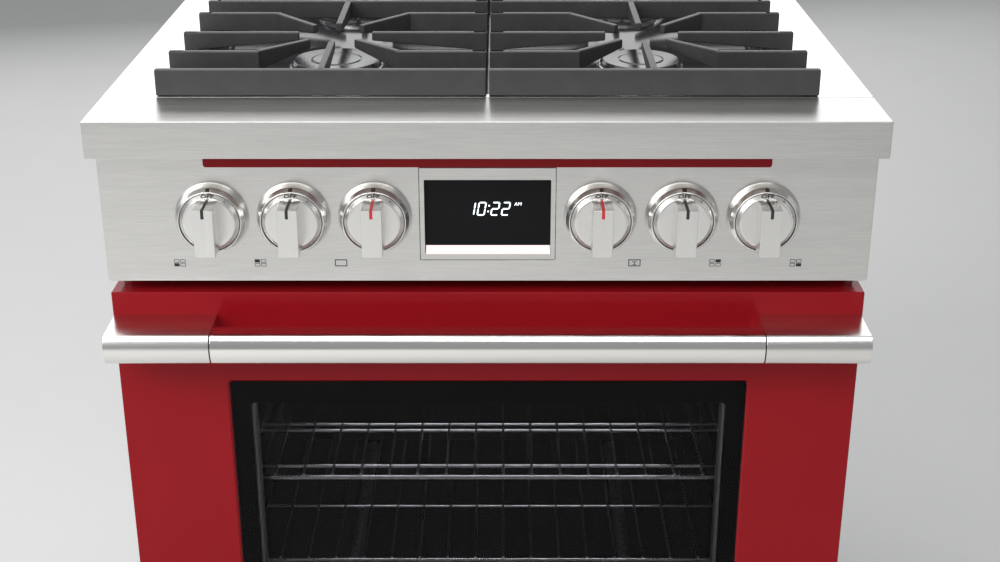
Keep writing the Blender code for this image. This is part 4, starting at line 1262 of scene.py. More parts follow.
def build_icons():
    """Printed marks under the knobs: four small squares with one filled, or an oven's outline."""
    front = PANEL_LOW[1]
    height = RIM - 0.1583
    parts = []

    def square(x, z, half_x, half_z, line=None):
        outer = oblong(half_x, half_z, 0.0002, 2)[0]
        if line is None:
            return flat_shape(outer + (x, z), front)
        inner = oblong(half_x - line, half_z - line, 0.0001, 2)[0]
        rings = np.stack([outer, outer, inner, inner]) + (x, z)
        return skin(
            lifted(rings, np.array([[front], [front - MARK], [front - MARK], [front]]), 1), looped=True
        )

    filled = {"front_left": (-1, -1), "rear_left": (-1, 1), "rear_right": (1, 1), "front_right": (1, -1)}
    for name in KNOBS:
        low, high = corners(f"knob_{name}")
        middle = (low[0] + high[0]) / 2
        x = middle + math.copysign(0.0355, middle)
        if name in filled:
            for across in (-1, 1):
                for up in (-1, 1):
                    line = None if (across, up) == filled[name] else 0.0005
                    parts.append(square(x + across * 0.0031, height + up * 0.0021, 0.0026, 0.0017, line))
            continue
        parts.append(square(x, height, 0.0061, 0.0037, 0.0009))
        if name == "oven_mode":
            parts.append(square(x, height + 0.0012, 0.0024, 0.0003))
            parts.append(square(x, height - 0.0004, 0.0004, 0.0018))
            parts.append(square(x, height - 0.0020, 0.0018, 0.0003))
    piece("panel_icons", parts, finish(black_ink), BODY)


# ---------------------------------------------------------------- knobs

DISC_RADIUS = (KNOB_HIGH - KNOB_LOW)[0] / 2
DISC_FACE = 0.0185
CHAMFER = 0.0035


def bezel_profile(name):
    low, high = corners(f"knob_bezel_{name}")
    base = (high - low)[0] / 2
    height = (high - low)[1] + 0.0004
    bore = DISC_RADIUS + 0.0007
    return [
        (bore, 0.0004),
        (base, 0.0004),
        (base - 0.0006, 0.003),
        (base - 0.0025, height * 0.65),
        (bore + 0.0010, height),
        (bore, height),
    ]


def on_slope(start, stop, half_angle, centre, turn=0.0):
    """A patch of a turned face between two (r, h) points, raised a little along its normal;
    turn is the angle from straight up."""
    start, stop = np.array(start), np.array(stop)
    angle = turn + np.linspace(-half_angle, half_angle, 5)[None, :]
    share = np.linspace(0, 1, 4)[:, None]
    radius = start[0] + (stop[0] - start[0]) * share
    depth = start[1] + (stop[1] - start[1]) * share
    across = np.broadcast_to(angle, (4, 5))
    grid = np.stack([radius * np.sin(across), -depth + 0 * across, radius * np.cos(across)], axis=-1)
    slope = stop - start
    normal = np.array([slope[1], -slope[0]]) / np.linalg.norm(slope)
    if normal[1] < 0:
        normal = -normal
    push = np.stack(
        [normal[0] * np.sin(across), -normal[1] + 0 * across, normal[0] * np.cos(across)], axis=-1
    )
    return plate(grid + centre, push * MARK)


def off_letters(centre):
    """Three letters bent round the chamfer: x becomes an angle, y a distance up the slope."""
    points, faces = lettering("OFF", 0.0060, 0.03)
    radius = DISC_RADIUS - CHAMFER / 2
    angle = points[:, 0] * 1.2 / radius
    up = points[:, 1] * 0.85
    out = points[:, 2] + MARK
    reach = radius + (up + out) / math.sqrt(2)
    depth = DISC_FACE - CHAMFER / 2 + (out - up) / math.sqrt(2)
    placed = np.stack([reach * np.sin(angle), -depth, reach * np.cos(angle)], axis=1)
    return placed + centre, faces


def indicator_line(centre, half_height, reach):
    """A strip along the grip's top face that turns down over its front face."""
    width, thick, down = 0.0015, 0.00018, 0.0085
    top = half_height
    path = [
        (-DISC_FACE - 0.0002, top),
        (-reach + 0.0002, top),
        (-reach, top - 0.0002),
        (-reach, top - down),
    ]
    path = np.array(path)
    outward = np.array([(0.0, 1.0), (-0.4, 1.0), (-1.0, 0.4), (-1.0, 0.0)])
    across = np.array([-width, width])
    grid = np.empty((len(path), 2, 3))
    grid[..., 0] = across[None, :]
    grid[..., 1] = path[:, None, 0]
    grid[..., 2] = path[:, None, 1]
    push = np.zeros((len(path), 1, 3))
    push[:, 0, 1:] = outward * thick
    return plate(grid + centre, push)


def build_knobs():
    """Turned discs with a chamfer and a block grip, inside conical bezels."""
    for name in KNOBS:
        low, high = corners(f"knob_{name}")
        centre = np.array([(low[0] + high[0]) / 2, PANEL_LOW[1], (low[2] + high[2]) / 2])
        body = f"knob_{name}"
        reach = PANEL_LOW[1] - low[1]
        disc = filleted(
            [
                (0.0, 0.0045),
                (DISC_RADIUS, 0.0045),
                (DISC_RADIUS, DISC_FACE - CHAMFER),
                (DISC_RADIUS - CHAMFER, DISC_FACE),
                (DISC_RADIUS - CHAMFER - 0.0006, DISC_FACE - 0.0003),
                (DISC_RADIUS - CHAMFER - 0.0014, DISC_FACE),
                (0.0, DISC_FACE),
            ],
            0.00025,
            3,
        )
        half_width, half_height = 0.0099, 0.0241
        grip_low = centre + (-half_width, -reach, -half_height)
        grip_high = centre + (half_width, -DISC_FACE + 0.002, half_height)
        parts = [
            turned(disc, centre, FORWARD, 96),
            slab(grip_low, grip_high, axis=1, corner=0.0006, edge=0.0005, steps=4),
        ]
        if name == "oven_mode":
            shaft = [(0.0, -0.008), (0.004, -0.008), (0.004, 0.006), (0.0, 0.006)]
            parts.append(turned(shaft, centre, FORWARD, 24))
        piece(f"grip_{name}", parts, finish(knob_steel), body, [f"knob_{name}"], 30.0)
        ink = finish(red_ink) if name.startswith("oven") else finish(black_ink)
        piece(f"pointer_{name}", [indicator_line(centre, half_height, reach)], ink, body)
        small = [off_letters(centre)]
        for turn in (0.62, 0.66):
            start = (DISC_RADIUS - 0.0009, DISC_FACE - CHAMFER + 0.0009)
            stop = (DISC_RADIUS - CHAMFER + 0.0008, DISC_FACE - 0.0008)
            small.append(on_slope(start, stop, 0.008, centre, turn))
        piece(f"dial_{name}", small, finish(black_ink), body)

        profile = bezel_profile(name)
        ring = turned(filleted(profile, 0.0005, 4, True), centre, FORWARD, 96, looped=True)
        node = f"knob_bezel_{name}"
        piece(f"ring_{name}", [ring], finish(satin_steel), BODY, [node], 30.0)
        slope_low, slope_high = np.array(profile[3]), np.array(profile[4])
        tick = on_slope(
            slope_low + (slope_high - slope_low) * 0.12,
            slope_low + (slope_high - slope_low) * 0.86,
            0.0021 / profile[3][0],
            centre,
        )
        piece(f"tick_{name}", [tick], finish(black_ink), BODY)


# ---------------------------------------------------------------- door


WINDOW_BEVEL = 0.0022


def hinge_notches():
    """Room for the hinge barrels in the door's lower rear edge, as (low, high) corners."""
    boxes = []
    for word in SIDES:
        low, high = corners(f"door_hinge_{word}")
        side_room, room, tunnel = 0.0036, 0.003, 0.02
        start = (low[0] + side_room, low[1] - room, DOOR_LOW[2] - tunnel)
        stop = (high[0] - side_room, high[1] + tunnel, high[2] + room)
        boxes.append((start, stop))
    return boxes


def build_door():
    """The enamelled skin round the window, the printed glass, the inner pane and liner."""
    edge = looks().door_edge
    window_low, window_high = flat(GLASS_LOW) - 0.0004, flat(GLASS_HIGH) + 0.0004
    outer = (flat(DOOR_LOW), flat(DOOR_HIGH), 0.0015)
    skin_back = DOOR_HIGH[1]
    shell = framed(
        outer, (window_low, window_high, 0.003), DOOR_LOW[1], skin_back, edge, lip=0.006, bevel=WINDOW_BEVEL
    )
    piece(
        "door_skin", [shell], finish(red_enamel), DOOR, ["door_panel"], openings=hinge_notches()
    )

    pane = slab(GLASS_LOW + 0.0002, GLASS_HIGH - 0.0002, axis=1, corner=0.003, edge=0.0005, steps=3)
    piece("window_pane", [pane], finish(window_glass), DOOR, ["door_glass"])
    liner_low, liner_high = corners("door_liner")
    border, head = 0.020, 0.0267
    view_low = flat(GLASS_LOW) + border
    view_high = flat(GLASS_HIGH) - (border, head)
    printed_front = GLASS_HIGH[1] + 0.0003
    rows = [
        (view_low, view_high, 0.004, printed_front),
        (window_low + 0.0008, window_high - 0.0008, 0.003, printed_front),
        (window_low + 0.0008, window_high - 0.0008, 0.003, printed_front + 0.0004),
        (view_low, view_high, 0.004, printed_front + 0.0004),
    ]
    border_ring = skin(stacked(rows, 1, 5), looped=True)
    piece("window_print", [border_ring], finish(glass_print), DOOR)

    outer = (flat(liner_low), flat(liner_high), 0.008)
    shell = framed(outer, (view_low, view_high, 0.006), liner_high[1], liner_low[1], 0.003, lip=0.006)
    piece(
        "door_lining",
        [shell],
        finish(steel_across),
        DOOR,
        ["door_liner"],
        openings=hinge_notches(),
    )
    inner_low = np.array([view_low[0] - 0.004, liner_high[1] - 0.0115, view_low[1] - 0.004])
    inner_high = np.array([view_high[0] + 0.004, liner_high[1] - 0.0080, view_high[1] + 0.004])
    pane = slab(inner_low, inner_high, axis=1, corner=0.004, edge=0.0005, steps=3)
    piece("window_inner_pane", [pane], finish(window_glass), DOOR)

    seal_low, seal_high = corners("door_gasket")
    middle = (seal_low[1] + seal_high[1]) / 2
    rows = []
    for angle in np.linspace(0, 2 * np.pi, 13)[:-1]:
        inward = 0.005 + 0.0049 * np.cos(angle)
        depth = middle + 0.00265 * np.sin(angle)
        rows.append((flat(seal_low) + inward, flat(seal_high) - inward, 0.022 - inward, depth))
    seal = skin(stacked(rows, 1, 9), looped=True)
    piece("oven_seal", [seal], finish(seal_fibre), DOOR, ["door_gasket"])
    build_door_screws(liner_low, liner_high)


def screw_head(centre, axis, radius=0.0035):
    """A low domed head with a round socket in it."""
    profile = filleted(
        [
            (0.0, -0.0006),
            (radius, -0.0006),
            (radius, 0.0004),
            (radius * 0.7, 0.0013),
            (radius * 0.42, 0.0014),
            (radius * 0.36, 0.0004),
            (0.0, 0.0004),
        ],
        0.0002,
        3,
    )
    return turned(profile, centre, axis, 20)


def build_door_screws(low, high):
    parts = []
    for x in (low[0] + 0.014, -0.12, 0.12, high[0] - 0.014):
        for z in (low[2] + 0.055, high[2] - 0.012):
            parts.append(screw_head((x, high[1] - 0.0008, z), BACKWARD))
    piece("door_screws", parts, finish(plated_wire), DOOR)


def handle_outline(back_y):
    """The handle's section: flat above, below and behind, with a shallow arc in front."""
    low, high = corners("handle_bar")
    half = (high[2] - low[2]) / 2
    middle = (high[2] + low[2]) / 2
    bulge = 0.0055
    radius = (half**2 + bulge**2) / (2 * bulge)
    reach = math.asin(half / radius)
    angle = np.linspace(reach, -reach, 19)
    front = np.stack([low[1] + radius - radius * np.cos(angle), middle + radius * np.sin(angle)], axis=1)
    outline = np.concatenate([[(back_y, high[2])], front, [(back_y, low[2])]])
    corner = 0.0008
    top = filleted([outline[0], outline[1], outline[2]], corner, 4)
    bottom = filleted([outline[-3], outline[-2], outline[-1]], corner, 4)
    return np.concatenate([top[:-1], outline[2:-2], bottom[1:]])


def build_handle():
    """The bar between two solid brackets, all of one section carried along X."""
    low, high = corners("handle_bar")
    gap = 0.0006
    bar = carried(handle_outline(high[1]), low[0] + gap, high[0] - gap, 0, 0.0006)
    piece("grab_bar", [bar], finish(bright_steel), DOOR, ["handle_bar"])
    for word in SIDES:
        name = f"handle_bracket_{word}"
        low, high = corners(name)
        block = carried(handle_outline(high[1]), low[0], high[0], 0, 0.0006)
        piece(f"end_{name}", [block], finish(satin_steel), DOOR, [name])


# ---------------------------------------------------------------- oven


RACK_CROSSINGS = {"upper": (0.028, 0.112, 0.127), "lower": (0.120,)}  # cross bars in from either end


def build_racks():
    """Wire racks: thin wires front to back, on cross bars, inside a bent frame."""
    for word in ("upper", "lower"):
        name = f"oven_rack_{word}"
        low, high = corners(name)
        frame_radius, wire_radius = 0.0028, 0.0016
        wire_z = high[2] - wire_radius
        bar_z = wire_z - wire_radius - frame_radius * 0.86
        inset = frame_radius
        loop = [
            (low[0] + inset, low[1] + inset, bar_z),
            (high[0] - inset, low[1] + inset, bar_z),
            (high[0] - inset, high[1] - inset, bar_z),
            (low[0] + inset, high[1] - inset, bar_z),
        ]
        parts = [tube(filleted(loop, 0.022, 7, True), frame_radius, (0, 0, 1), 12, True)]
        for distance in RACK_CROSSINGS[word]:
            for y in (low[1] + distance, high[1] - distance):
                ends = [(low[0] + inset, y, bar_z), (high[0] - inset, y, bar_z)]
                parts.append(tube(ends, frame_radius * 0.8, (0, 0, 1)))
        pitch = 0.0318
        count = int((high[0] - low[0]) / pitch) // 2
        for step in range(-count, count):
            x = (step + 0.5) * pitch
            ends = [(x, low[1] + 0.002, wire_z), (x, high[1] - 0.002, wire_z)]
            parts.append(tube(ends, wire_radius, (0, 0, 1), 8))
        piece(f"wire_{name}", parts, finish(plated_wire), name, [name], 60.0)


def build_oven_burners():
    """Bent gas tubes, one over the floor and one under the roof, with rows of flame ports, each a small black
    disc that paints the shade inside a hole.
    """
    for word, up in (("bake", 1), ("broil", -1)):
        name = f"{word}_burner"
        low, high = corners(name)
        radius = (high[2] - low[2]) / 2
        z = (low[2] + high[2]) / 2
        loop = [
            (low[0] + radius, high[1], z),
            (low[0] + radius, low[1] + radius, z),
            (high[0] - radius, low[1] + radius, z),
            (high[0] - radius, high[1], z),
        ]
        parts = [tube(filleted(loop, 0.030, 9), radius * 0.96, (0, 0, 1), 20)]
        piece(f"tube_{name}", parts, finish(gas_metal), BODY, [name])
        # the ports are not cut: black discs paint the shade inside each hole
        ports = []
        for x in (low[0] + radius, high[0] - radius):
            for y in np.arange(low[1] + 0.05, high[1] - 0.02, 0.014):
                spot = (x, y, z + up * radius * 0.93)
                ports.append(
                    turned([(0.0, 0.0), (0.0014, 0.0), (0.0010, 0.0004), (0.0, 0.0004)], spot, (0, 0, up), 8)
                )
        piece(f"ports_{name}", ports, finish(black_ink), BODY)


def build_oven():
    """The speckled enamel of the oven, the fan's cover, and a lamp in the roof corner."""
    dress(["oven_cavity", "fan_cover"], finish(oven_enamel))
    dress(["convection_fan"], finish(gas_metal))
    cover_low, cover_high = corners("fan_cover")
    parts = []
    for x in (cover_low[0] + 0.010, cover_high[0] - 0.010):
        for z in (cover_low[2] + 0.010, cover_high[2] - 0.010):
            parts.append(screw_head((x, cover_low[1], z), FORWARD, radius=0.003))
    piece("fan_cover_screws", parts, finish(plated_wire), BODY)
    roof = corners("broil_burner")[1][2] + 0.018
    dome = [(0.024, -0.002), (0.024, 0.001), (0.020, 0.004), (0.014, 0.009), (0.006, 0.0115), (0.0, 0.012)]
    lamp = turned(filleted([(0.0, -0.002)] + dome, 0.001, 4), (0.20, 0.12, roof - 0.002), (0, 0, -1), 40)
    piece("oven_lamp", [lamp], finish(porcelain), BODY)


# ---------------------------------------------------------------- casing


def pressed_sheet(low, high, axis, outward, margin, depth, thickness):
    """A sheet whose middle is pressed in: rings of rounded rectangles from the border inwards,
    over a soft step, then the same behind it."""
    face = high[axis] if outward > 0 else low[axis]
    flat_low, flat_high = flat(low, axis), flat(high, axis)
    share = np.linspace(0, 1, 6)
    step = share * share * (3 - 2 * share)
    rows = [(flat_low + 0.0005, flat_high - 0.0005, 0.001, face)]
    for along, down in zip(share, step):
        inset = margin + along * depth * 2
        rows.append((flat_low + inset, flat_high - inset, 0.014, face - outward * depth * down))
    behind = [(a, b, radius, place - outward * thickness) for a, b, radius, place in rows[::-1]]
    edge = [(flat_low, flat_high, 0.001, face - outward * 0.0005)]
    first = [(flat_low, flat_high, 0.001, face - outward * thickness)]
    return skin(stacked(behind[:-1] + first + edge + rows, axis, 6))


def build_side_panels():
    """Zinc-coated side panels, pressed in a little, with a front return and screws."""
    for word, side in SIDES.items():
        name = f"side_panel_{word}"
        low, high = corners(name)
        sheet_low, sheet_high = low.copy(), high.copy()
        lip_low = np.array([low[0], low[1], low[2] + SIDE_LIP_RISE])
        lip_high = np.array([high[0], low[1] + SIDE_LIP_DEPTH, high[2]])
        if side < 0:
            sheet_high[0] = low[0] + SIDE_SHEET
            lip_low[0] += HAIRLINE
        else:
            sheet_low[0] = high[0] - SIDE_SHEET
            lip_high[0] -= HAIRLINE
        parts = [pressed_sheet(sheet_low, sheet_high, 0, side, 0.035, 0.0018, SKIN)]
        parts.append(slab(lip_low, lip_high, axis=1, corner=0.0005, edge=0.0004, steps=3))
        piece(f"pressed_{name}", parts, finish(zinc_sheet), BODY, [name], 25.0)
        face = sheet_low[0] if side < 0 else sheet_high[0]
        screws = []
        for y in np.linspace(low[1] + 0.03, high[1] - 0.03, 4):
            for z in (low[2] + 0.016, high[2] - 0.012):
                screws.append(screw_head((face - side * 0.0015, y, z), (side, 0, 0), radius=0.004))
        piece(f"screws_{name}", screws, finish(plated_wire), BODY)


def build_back():
    """The back panel's finish, its inlet's pins, louvres and screws."""
    low, high = corners("back_panel")
    dress(["back_panel", "base_frame"], finish(zinc_sheet))
    dress(["back_trim"], finish(steel_across))
    face = high[1]
    recess_x, recess_z = CAD_LOW[0] / 2, low[2] + 0.120
    pins = []
    for across, up in ((-0.016, -0.006), (0.0, 0.008), (0.016, -0.006)):
        start = (recess_x + across - 0.003, face - 0.019, recess_z + up - 0.001)
        stop = (recess_x + across + 0.003, face - 0.006, recess_z + up + 0.001)
        pins.append(slab(start, stop, axis=1, corner=0.0006, edge=0.0004, steps=3))
    piece("power_pins", pins, finish(plated_wire), BODY)
    block_low = (recess_x - 0.034, face - 0.0198, recess_z - 0.020)
    block_high = (recess_x + 0.034, face - 0.0150, recess_z + 0.020)
    piece(
        "power_socket",
        [slab(block_low, block_high, axis=1, corner=0.004, edge=0.001, steps=4)],
        finish(dark_plastic),
        BODY,
    )
    screws = []
    for x in np.linspace(low[0] + 0.012, high[0] - 0.012, 6):
        for z in (low[2] + 0.010, high[2] - 0.010):
            screws.append(screw_head((x, face - 0.0012, z), BACKWARD, radius=0.0034))
    piece("back_screws", screws, finish(plated_wire), BODY)
    louvres = []
    for block in (-1, 0, 1):
        for step in range(8):
            middle = np.array([block * 0.21, face, low[2] + 0.36 + step * 0.022])
            across = np.linspace(-1, 1, 17)[:, None]
            up = np.linspace(0, 1, 7)[None, :]
            swell = np.sqrt(np.clip(1 - across**4, 0, 1)) * np.sin(up * np.pi * 0.5 + 0.02)
            x = middle[0] + across * 0.075 + 0 * up
            z = middle[2] + 0.008 - up * 0.008 + 0 * across
            y = face - 0.0001 + swell * 0.0004
            louvres.append(plate(np.stack([x, y, z], axis=-1), np.array((0.0, -0.0004, 0.0))))
    piece("back_louvres", louvres, finish(zinc_sheet), BODY)
    # black strips under each louvre's lip: painted shade of the openings behind them
    louvre_shadows = []
    for block in (-1, 0, 1):
        for step in range(8):
            start = (block * 0.21 - 0.072, face - 0.0004, low[2] + 0.3585 + step * 0.022)
            stop = (block * 0.21 + 0.072, face + 0.0002, low[2] + 0.3602 + step * 0.022)
            louvre_shadows.append(slab(start, stop, axis=1, corner=0.0006, edge=0.0001, steps=2))
    piece("back_louvre_shadows", louvre_shadows, finish(black_ink), BODY)


def build_gas_line():
    """The pipe, valves and stems behind the panel, and the threaded inlet at the back."""
    dress(["gas_manifold"], finish(gas_metal))
    dress([f"valve_stem_{name}" for name in KNOBS if name != "oven_mode"], finish(brass_metal))
    dress(["door_hinge_left", "door_hinge_right"], finish(zinc_sheet))
    pipe_high = corners("gas_manifold")[1]
    end_x = pipe_high[0] - 0.010
    end_z = corners("back_panel")[0][2] + 0.0596
    thread = []
    count, pitch = 9, 0.0018
    for step in range(count):
        start = step * pitch
        thread += [(0.0104, start), (0.0113, start + pitch * 0.5)]
    thread = [(0.0070, 0.0)] + thread + [(0.0104, count * pitch), (0.0070, count * pitch)]
    collar = turned(thread, (end_x, pipe_high[1] - count * pitch, end_z), BACKWARD, 40, looped=True)
    piece("gas_inlet_thread", [collar], finish(brass_metal), BODY)


def build_kick_panel():
    """The toe board: a folded shell with two screws."""
    low, high = corners("kick_panel")
    inset, rise = easing(looks().edge, 5)
    flat_low, flat_high = flat(low), flat(high)
    rows = [(flat_low + a, flat_high - a, 0.003, low[1] + b) for a, b in zip(inset, rise)]
    rows.append((flat_low, flat_high, 0.003, high[1]))
    rows.append((flat_low + SKIN, flat_high - SKIN, 0.002, high[1]))
    rows.append((flat_low + SKIN, flat_high - SKIN, 0.002, low[1] + 0.003))
    piece(
        "toe_board", [skin(stacked(rows, 1, 5))], finish(steel_across), BODY, ["kick_panel"]
    )
    middle = (low[2] + high[2]) / 2
    parts = [
        screw_head((x, low[1] - HAIRLINE, middle), FORWARD, radius=0.004)
        for x in (low[0] + 0.02, high[0] - 0.02)
    ]
    piece("toe_board_screws", parts, finish(plated_wire), BODY)


def build_legs():
    """Levelling legs: a ribbed steel sleeve on a threaded stem, with a wide sole."""
    for name in LEGS:
        node = f"leg_{name}"
        low, high = corners(node)
        centre = np.array([(low[0] + high[0]) / 2, (low[1] + high[1]) / 2, 0.0])
        foot = (high - low)[0] / 2
        sleeve_top = LEG_SLEEVE_TOP
        sleeve = foot - 0.004
        profile = filleted(
            [
                (0.0, 0.0),
                (foot, 0.0),
                (foot, 0.008),
                (sleeve, 0.0125),
                (sleeve, 0.030),
                (sleeve - 0.0012, 0.032),
                (sleeve, 0.034),
                (sleeve, sleeve_top - 0.002),
                (sleeve - 0.002, sleeve_top),
                (0.0, sleeve_top),
            ],
            0.0008,
            4,
        )
        stem = [(0.0, sleeve_top - 0.002)]
        pitch = 0.00175
        for step in range(int((high[2] - sleeve_top) / pitch)):
            start = sleeve_top + step * pitch
            stem += [(0.0080, start), (0.0090, start + pitch * 0.5)]
        stem += [(0.0080, high[2]), (0.0, high[2])]
        parts = [turned(profile, centre, UP, 48), turned(stem, centre, UP, 32)]
        piece(f"turned_{node}", parts, finish(bright_steel), node, [node], 30.0)


# ---------------------------------------------------------------- stage

CAMERA_LENS = 55.1
CAMERA_TILT = 67.10
CAMERA_AHEAD = 1.372  # in front of the rail's face
CAMERA_ABOVE = 0.4185  # over the cooktop's rim
CAMERA_ASIDE = 0.0122


def add_camera():
    data = bpy.data.cameras.new("camera")
    data.lens = CAMERA_LENS
    data.sensor_width = 36.0
    data.clip_start = 0.01
    camera = bpy.data.objects.new("camera", data)
    camera.location = (CAMERA_ASIDE, RAIL_LOW[1] - CAMERA_AHEAD, RIM + CAMERA_ABOVE)
    camera.rotation_euler = (math.radians(CAMERA_TILT), 0.0, 0.0)
    bpy.context.scene.collection.objects.link(camera)
    bpy.context.scene.camera = camera


def add_light(name, place, target, size, power):
    data = bpy.data.lights.new(name, "AREA")
    data.shape = "RECTANGLE"
    data.size, data.size_y = size
    data.energy = power
    light = bpy.data.objects.new(name, data)
    light.location = place
    aim = np.array(target, float) - np.array(place, float)
    aim /= np.linalg.norm(aim)
    light.rotation_euler = (math.acos(-aim[2]), 0.0, math.atan2(aim[0], -aim[1]) + math.pi)
    light.visible_camera = False
    light.visible_transmission = False
    bpy.context.scene.collection.objects.link(light)


def build_stage():
    """A pale floor, soft even light from above and both sides, and the camera."""
    span = np.linspace(-7.0, 7.0, 29)
    x, y = np.meshgrid(span, span, indexing="ij")
    floor = built("floor", [plate(np.stack([x, y, 0 * x], axis=-1), np.array((0.0, 0.0, -0.02)))])
    floor.data.materials.append(finish(floor_paint))
    floor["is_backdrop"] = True
    world = bpy.data.worlds.new("soft_room")
    world.use_nodes = True
    background = world.node_tree.nodes["Background"]
    background.inputs["Color"].default_value = (0.95, 0.97, 1.0, 1.0)
    background.inputs["Strength"].default_value = looks().room
    bpy.context.scene.world = world
    middle = (0.0, 0.0, 0.7)
    power = looks().key
    add_light("key", (-2.4, -2.4, 2.4), middle, (2.4, 2.2), power)
    add_light("front", (-0.5, -2.7, 2.9), (-0.3, -2.0, 0.0), (3.6, 1.6), power * 0.9)
    add_light("top", (-0.3, 0.4, 3.3), (0.0, 0.0, 0.9), (3.0, 2.0), power * 0.5)
    add_light("behind", (-0.8, 3.6, 1.9), (0.0, 0.0, 1.0), (6.0, 2.2), power * 0.85)
    add_light("fill", (3.0, -1.4, 1.5), middle, (1.2, 1.8), power * 0.06)
    lamp_place = (0.0, CAVITY_LOW[1] + 0.05, corners("broil_burner")[1][2] + 0.010)
    add_light("oven_lamp_glow", lamp_place, (0.0, 0.05, CAVITY_LOW[2]), (0.42, 0.05), looks().lamp)
    bpy.context.scene.view_settings.view_transform = "Standard"
    add_camera()


# ---------------------------------------------------------------- add-on


class GasRangeLooks(bpy.types.PropertyGroup):
    """Colours and sizes of the visible pieces that a user may change."""

    steel: bpy.props.FloatVectorProperty(
        name="Steel", description="Reflected colour of the stainless steel", subtype="COLOR",
        size=3, min=0.0, max=1.0, default=(0.70, 0.69, 0.67),
    )
    enamel: bpy.props.FloatVectorProperty(
        name="Enamel", description="Colour of the door and the accent strip", subtype="COLOR",
        size=3, min=0.0, max=1.0, default=(0.245, 0.006, 0.010),
    )
    iron: bpy.props.FloatVectorProperty(
        name="Iron", description="Colour of the cast grates", subtype="COLOR",
        size=3, min=0.0, max=1.0, default=(0.034, 0.034, 0.034),
    )
    glass: bpy.props.FloatVectorProperty(
        name="Glass", description="Tint of the oven's window", subtype="COLOR",
        size=3, min=0.0, max=1.0, default=(0.72, 0.72, 0.74),
    )
    floor: bpy.props.FloatVectorProperty(
        name="Floor", description="Colour of the floor", subtype="COLOR",
        size=3, min=0.0, max=1.0, default=(0.62, 0.62, 0.61),
    )
    edge: bpy.props.FloatProperty(
        name="Edge", description="Rounding of the steel casings' edges", unit="LENGTH",
        default=0.0008, min=0.0002, max=0.005,
    )
    door_edge: bpy.props.FloatProperty(
        name="Door Edge", description="Rounding of the door's outer edges", unit="LENGTH",
        default=0.0012, min=0.0005, max=0.008,
    )
    cast_edge: bpy.props.FloatProperty(
        name="Cast Edge", description="Rounding of the grates' bars", unit="LENGTH",
        default=0.0012, min=0.0004, max=0.003,
    )
    room: bpy.props.FloatProperty(
        name="Room Light", description="Strength of the room's even light",
        default=0.34, min=0.0, max=5.0,
    )
    lamp: bpy.props.FloatProperty(
        name="Oven Lamp", description="Power of the light inside the oven", unit="POWER",
        default=0.55, min=0.0, max=100.0,
    )
    key: bpy.props.FloatProperty(
        name="Key Light", description="Power of the key light", unit="POWER",
        default=75.0, min=0.0, max=2000.0,
    )


class GASRANGE_OT_stage(bpy.types.Operator):
    """Makes the floor, the lights and the camera."""

    bl_idname = "gasrange.stage"
    bl_label = "Stage"

    def execute(self, context):
        build_stage()
        return {"FINISHED"}


class GASRANGE_OT_rail(bpy.types.Operator):
    """Makes the deep front rail."""

    bl_idname = "gasrange.rail"
    bl_label = "Front Rail"

    def execute(self, context):
        build_front_rail()
        return {"FINISHED"}


class GASRANGE_OT_cooktop(bpy.types.Operator):
    """Makes the cooktop's ledges, pan and burner seats."""

    bl_idname = "gasrange.cooktop"
    bl_label = "Cooktop"

    def execute(self, context):
        build_cooktop()
        return {"FINISHED"}


class GASRANGE_OT_burners(bpy.types.Operator):
    """Makes the burner heads, caps and igniters."""

    bl_idname = "gasrange.burners"
    bl_label = "Burners"

    def execute(self, context):
        build_burners()
        return {"FINISHED"}


class GASRANGE_OT_grates(bpy.types.Operator):
    """Makes the two cast grates."""

    bl_idname = "gasrange.grates"
    bl_label = "Grates"

    def execute(self, context):
        build_grates()
        return {"FINISHED"}


class GASRANGE_OT_panel(bpy.types.Operator):
    """Makes the control panel, the accent strip and the printed icons."""

    bl_idname = "gasrange.panel"
    bl_label = "Control Panel"

    def execute(self, context):
        build_control_panel()
        build_icons()
        return {"FINISHED"}


class GASRANGE_OT_display(bpy.types.Operator):
    """Makes the display's surround, pane and lit time."""

    bl_idname = "gasrange.display"
    bl_label = "Display"

    def execute(self, context):
        build_display()
        return {"FINISHED"}


class GASRANGE_OT_knobs(bpy.types.Operator):
    """Makes the six knobs and their bezels."""

    bl_idname = "gasrange.knobs"
    bl_label = "Knobs"

    def execute(self, context):
        build_knobs()
        return {"FINISHED"}


class GASRANGE_OT_door(bpy.types.Operator):
    """Makes the oven door with its glass, lining and seal."""

    bl_idname = "gasrange.door"
    bl_label = "Door"

    def execute(self, context):
        build_door()
        return {"FINISHED"}


class GASRANGE_OT_handle(bpy.types.Operator):
    """Makes the handle's bar and end brackets."""

    bl_idname = "gasrange.handle"
    bl_label = "Handle"

    def execute(self, context):
        build_handle()
        return {"FINISHED"}


class GASRANGE_OT_oven(bpy.types.Operator):
    """Makes the oven's racks, gas tubes, lamp and inner finish."""

    bl_idname = "gasrange.oven"
    bl_label = "Oven"

    def execute(self, context):
        build_oven()
        build_racks()
        build_oven_burners()
        return {"FINISHED"}


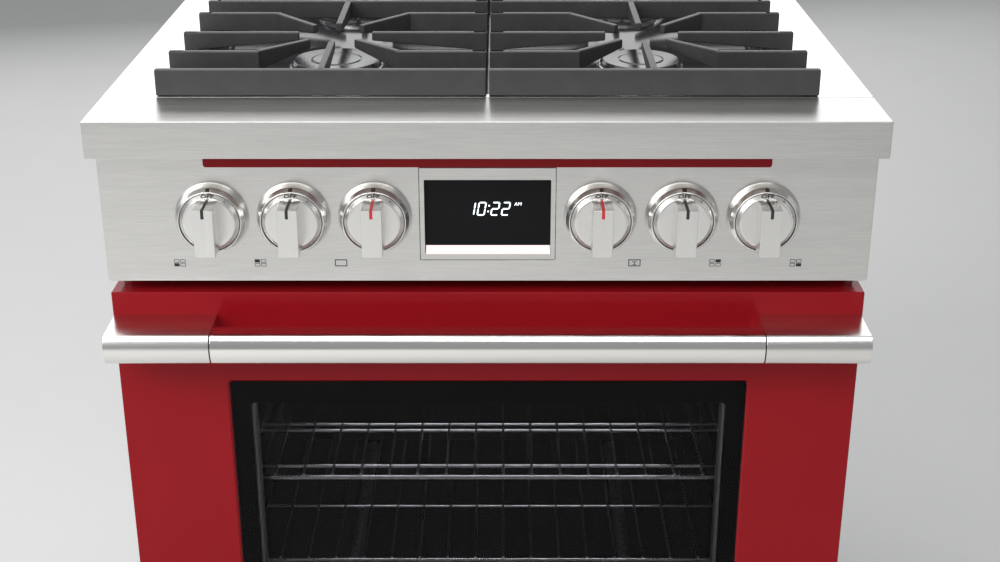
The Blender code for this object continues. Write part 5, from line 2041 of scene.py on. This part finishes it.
class GASRANGE_OT_casing(bpy.types.Operator):
    """Makes the side panels, the back's details and the toe board."""

    bl_idname = "gasrange.casing"
    bl_label = "Casing"

    def execute(self, context):
        build_side_panels()
        build_back()
        build_kick_panel()
        return {"FINISHED"}


class GASRANGE_OT_gas_line(bpy.types.Operator):
    """Finishes the gas pipe, valves, stems and inlet."""

    bl_idname = "gasrange.gas_line"
    bl_label = "Gas Line"

    def execute(self, context):
        build_gas_line()
        return {"FINISHED"}


class GASRANGE_OT_legs(bpy.types.Operator):
    """Makes the four levelling legs."""

    bl_idname = "gasrange.legs"
    bl_label = "Legs"

    def execute(self, context):
        build_legs()
        return {"FINISHED"}


OPERATORS = (
    GASRANGE_OT_stage,
    GASRANGE_OT_rail,
    GASRANGE_OT_cooktop,
    GASRANGE_OT_burners,
    GASRANGE_OT_grates,
    GASRANGE_OT_panel,
    GASRANGE_OT_display,
    GASRANGE_OT_knobs,
    GASRANGE_OT_door,
    GASRANGE_OT_handle,
    GASRANGE_OT_oven,
    GASRANGE_OT_casing,
    GASRANGE_OT_gas_line,
    GASRANGE_OT_legs,
)


class GASRANGE_PT_sidebar(bpy.types.Panel):
    """Lists the range's colours and sizes, and the operators in the order they run."""

    bl_label = "Gas Range"
    bl_idname = "GASRANGE_PT_sidebar"
    bl_space_type = "VIEW_3D"
    bl_region_type = "UI"
    bl_category = "Gas Range"

    def draw(self, context):
        for label in GasRangeLooks.__annotations__:
            self.layout.prop(context.scene.gas_range, label)
        for operator in OPERATORS:
            self.layout.operator(operator.bl_idname)


CLASSES = (GasRangeLooks, *OPERATORS, GASRANGE_PT_sidebar)


def register():
    for item in CLASSES:
        bpy.utils.register_class(item)
    bpy.types.Scene.gas_range = bpy.props.PointerProperty(type=GasRangeLooks)


def unregister():
    del bpy.types.Scene.gas_range
    for item in reversed(CLASSES):
        bpy.utils.unregister_class(item)


def main():
    register()
    for operator in OPERATORS:
        group, name = operator.bl_idname.split(".")
        getattr(getattr(bpy.ops, group), name)()


if __name__ == "__main__":
    main()
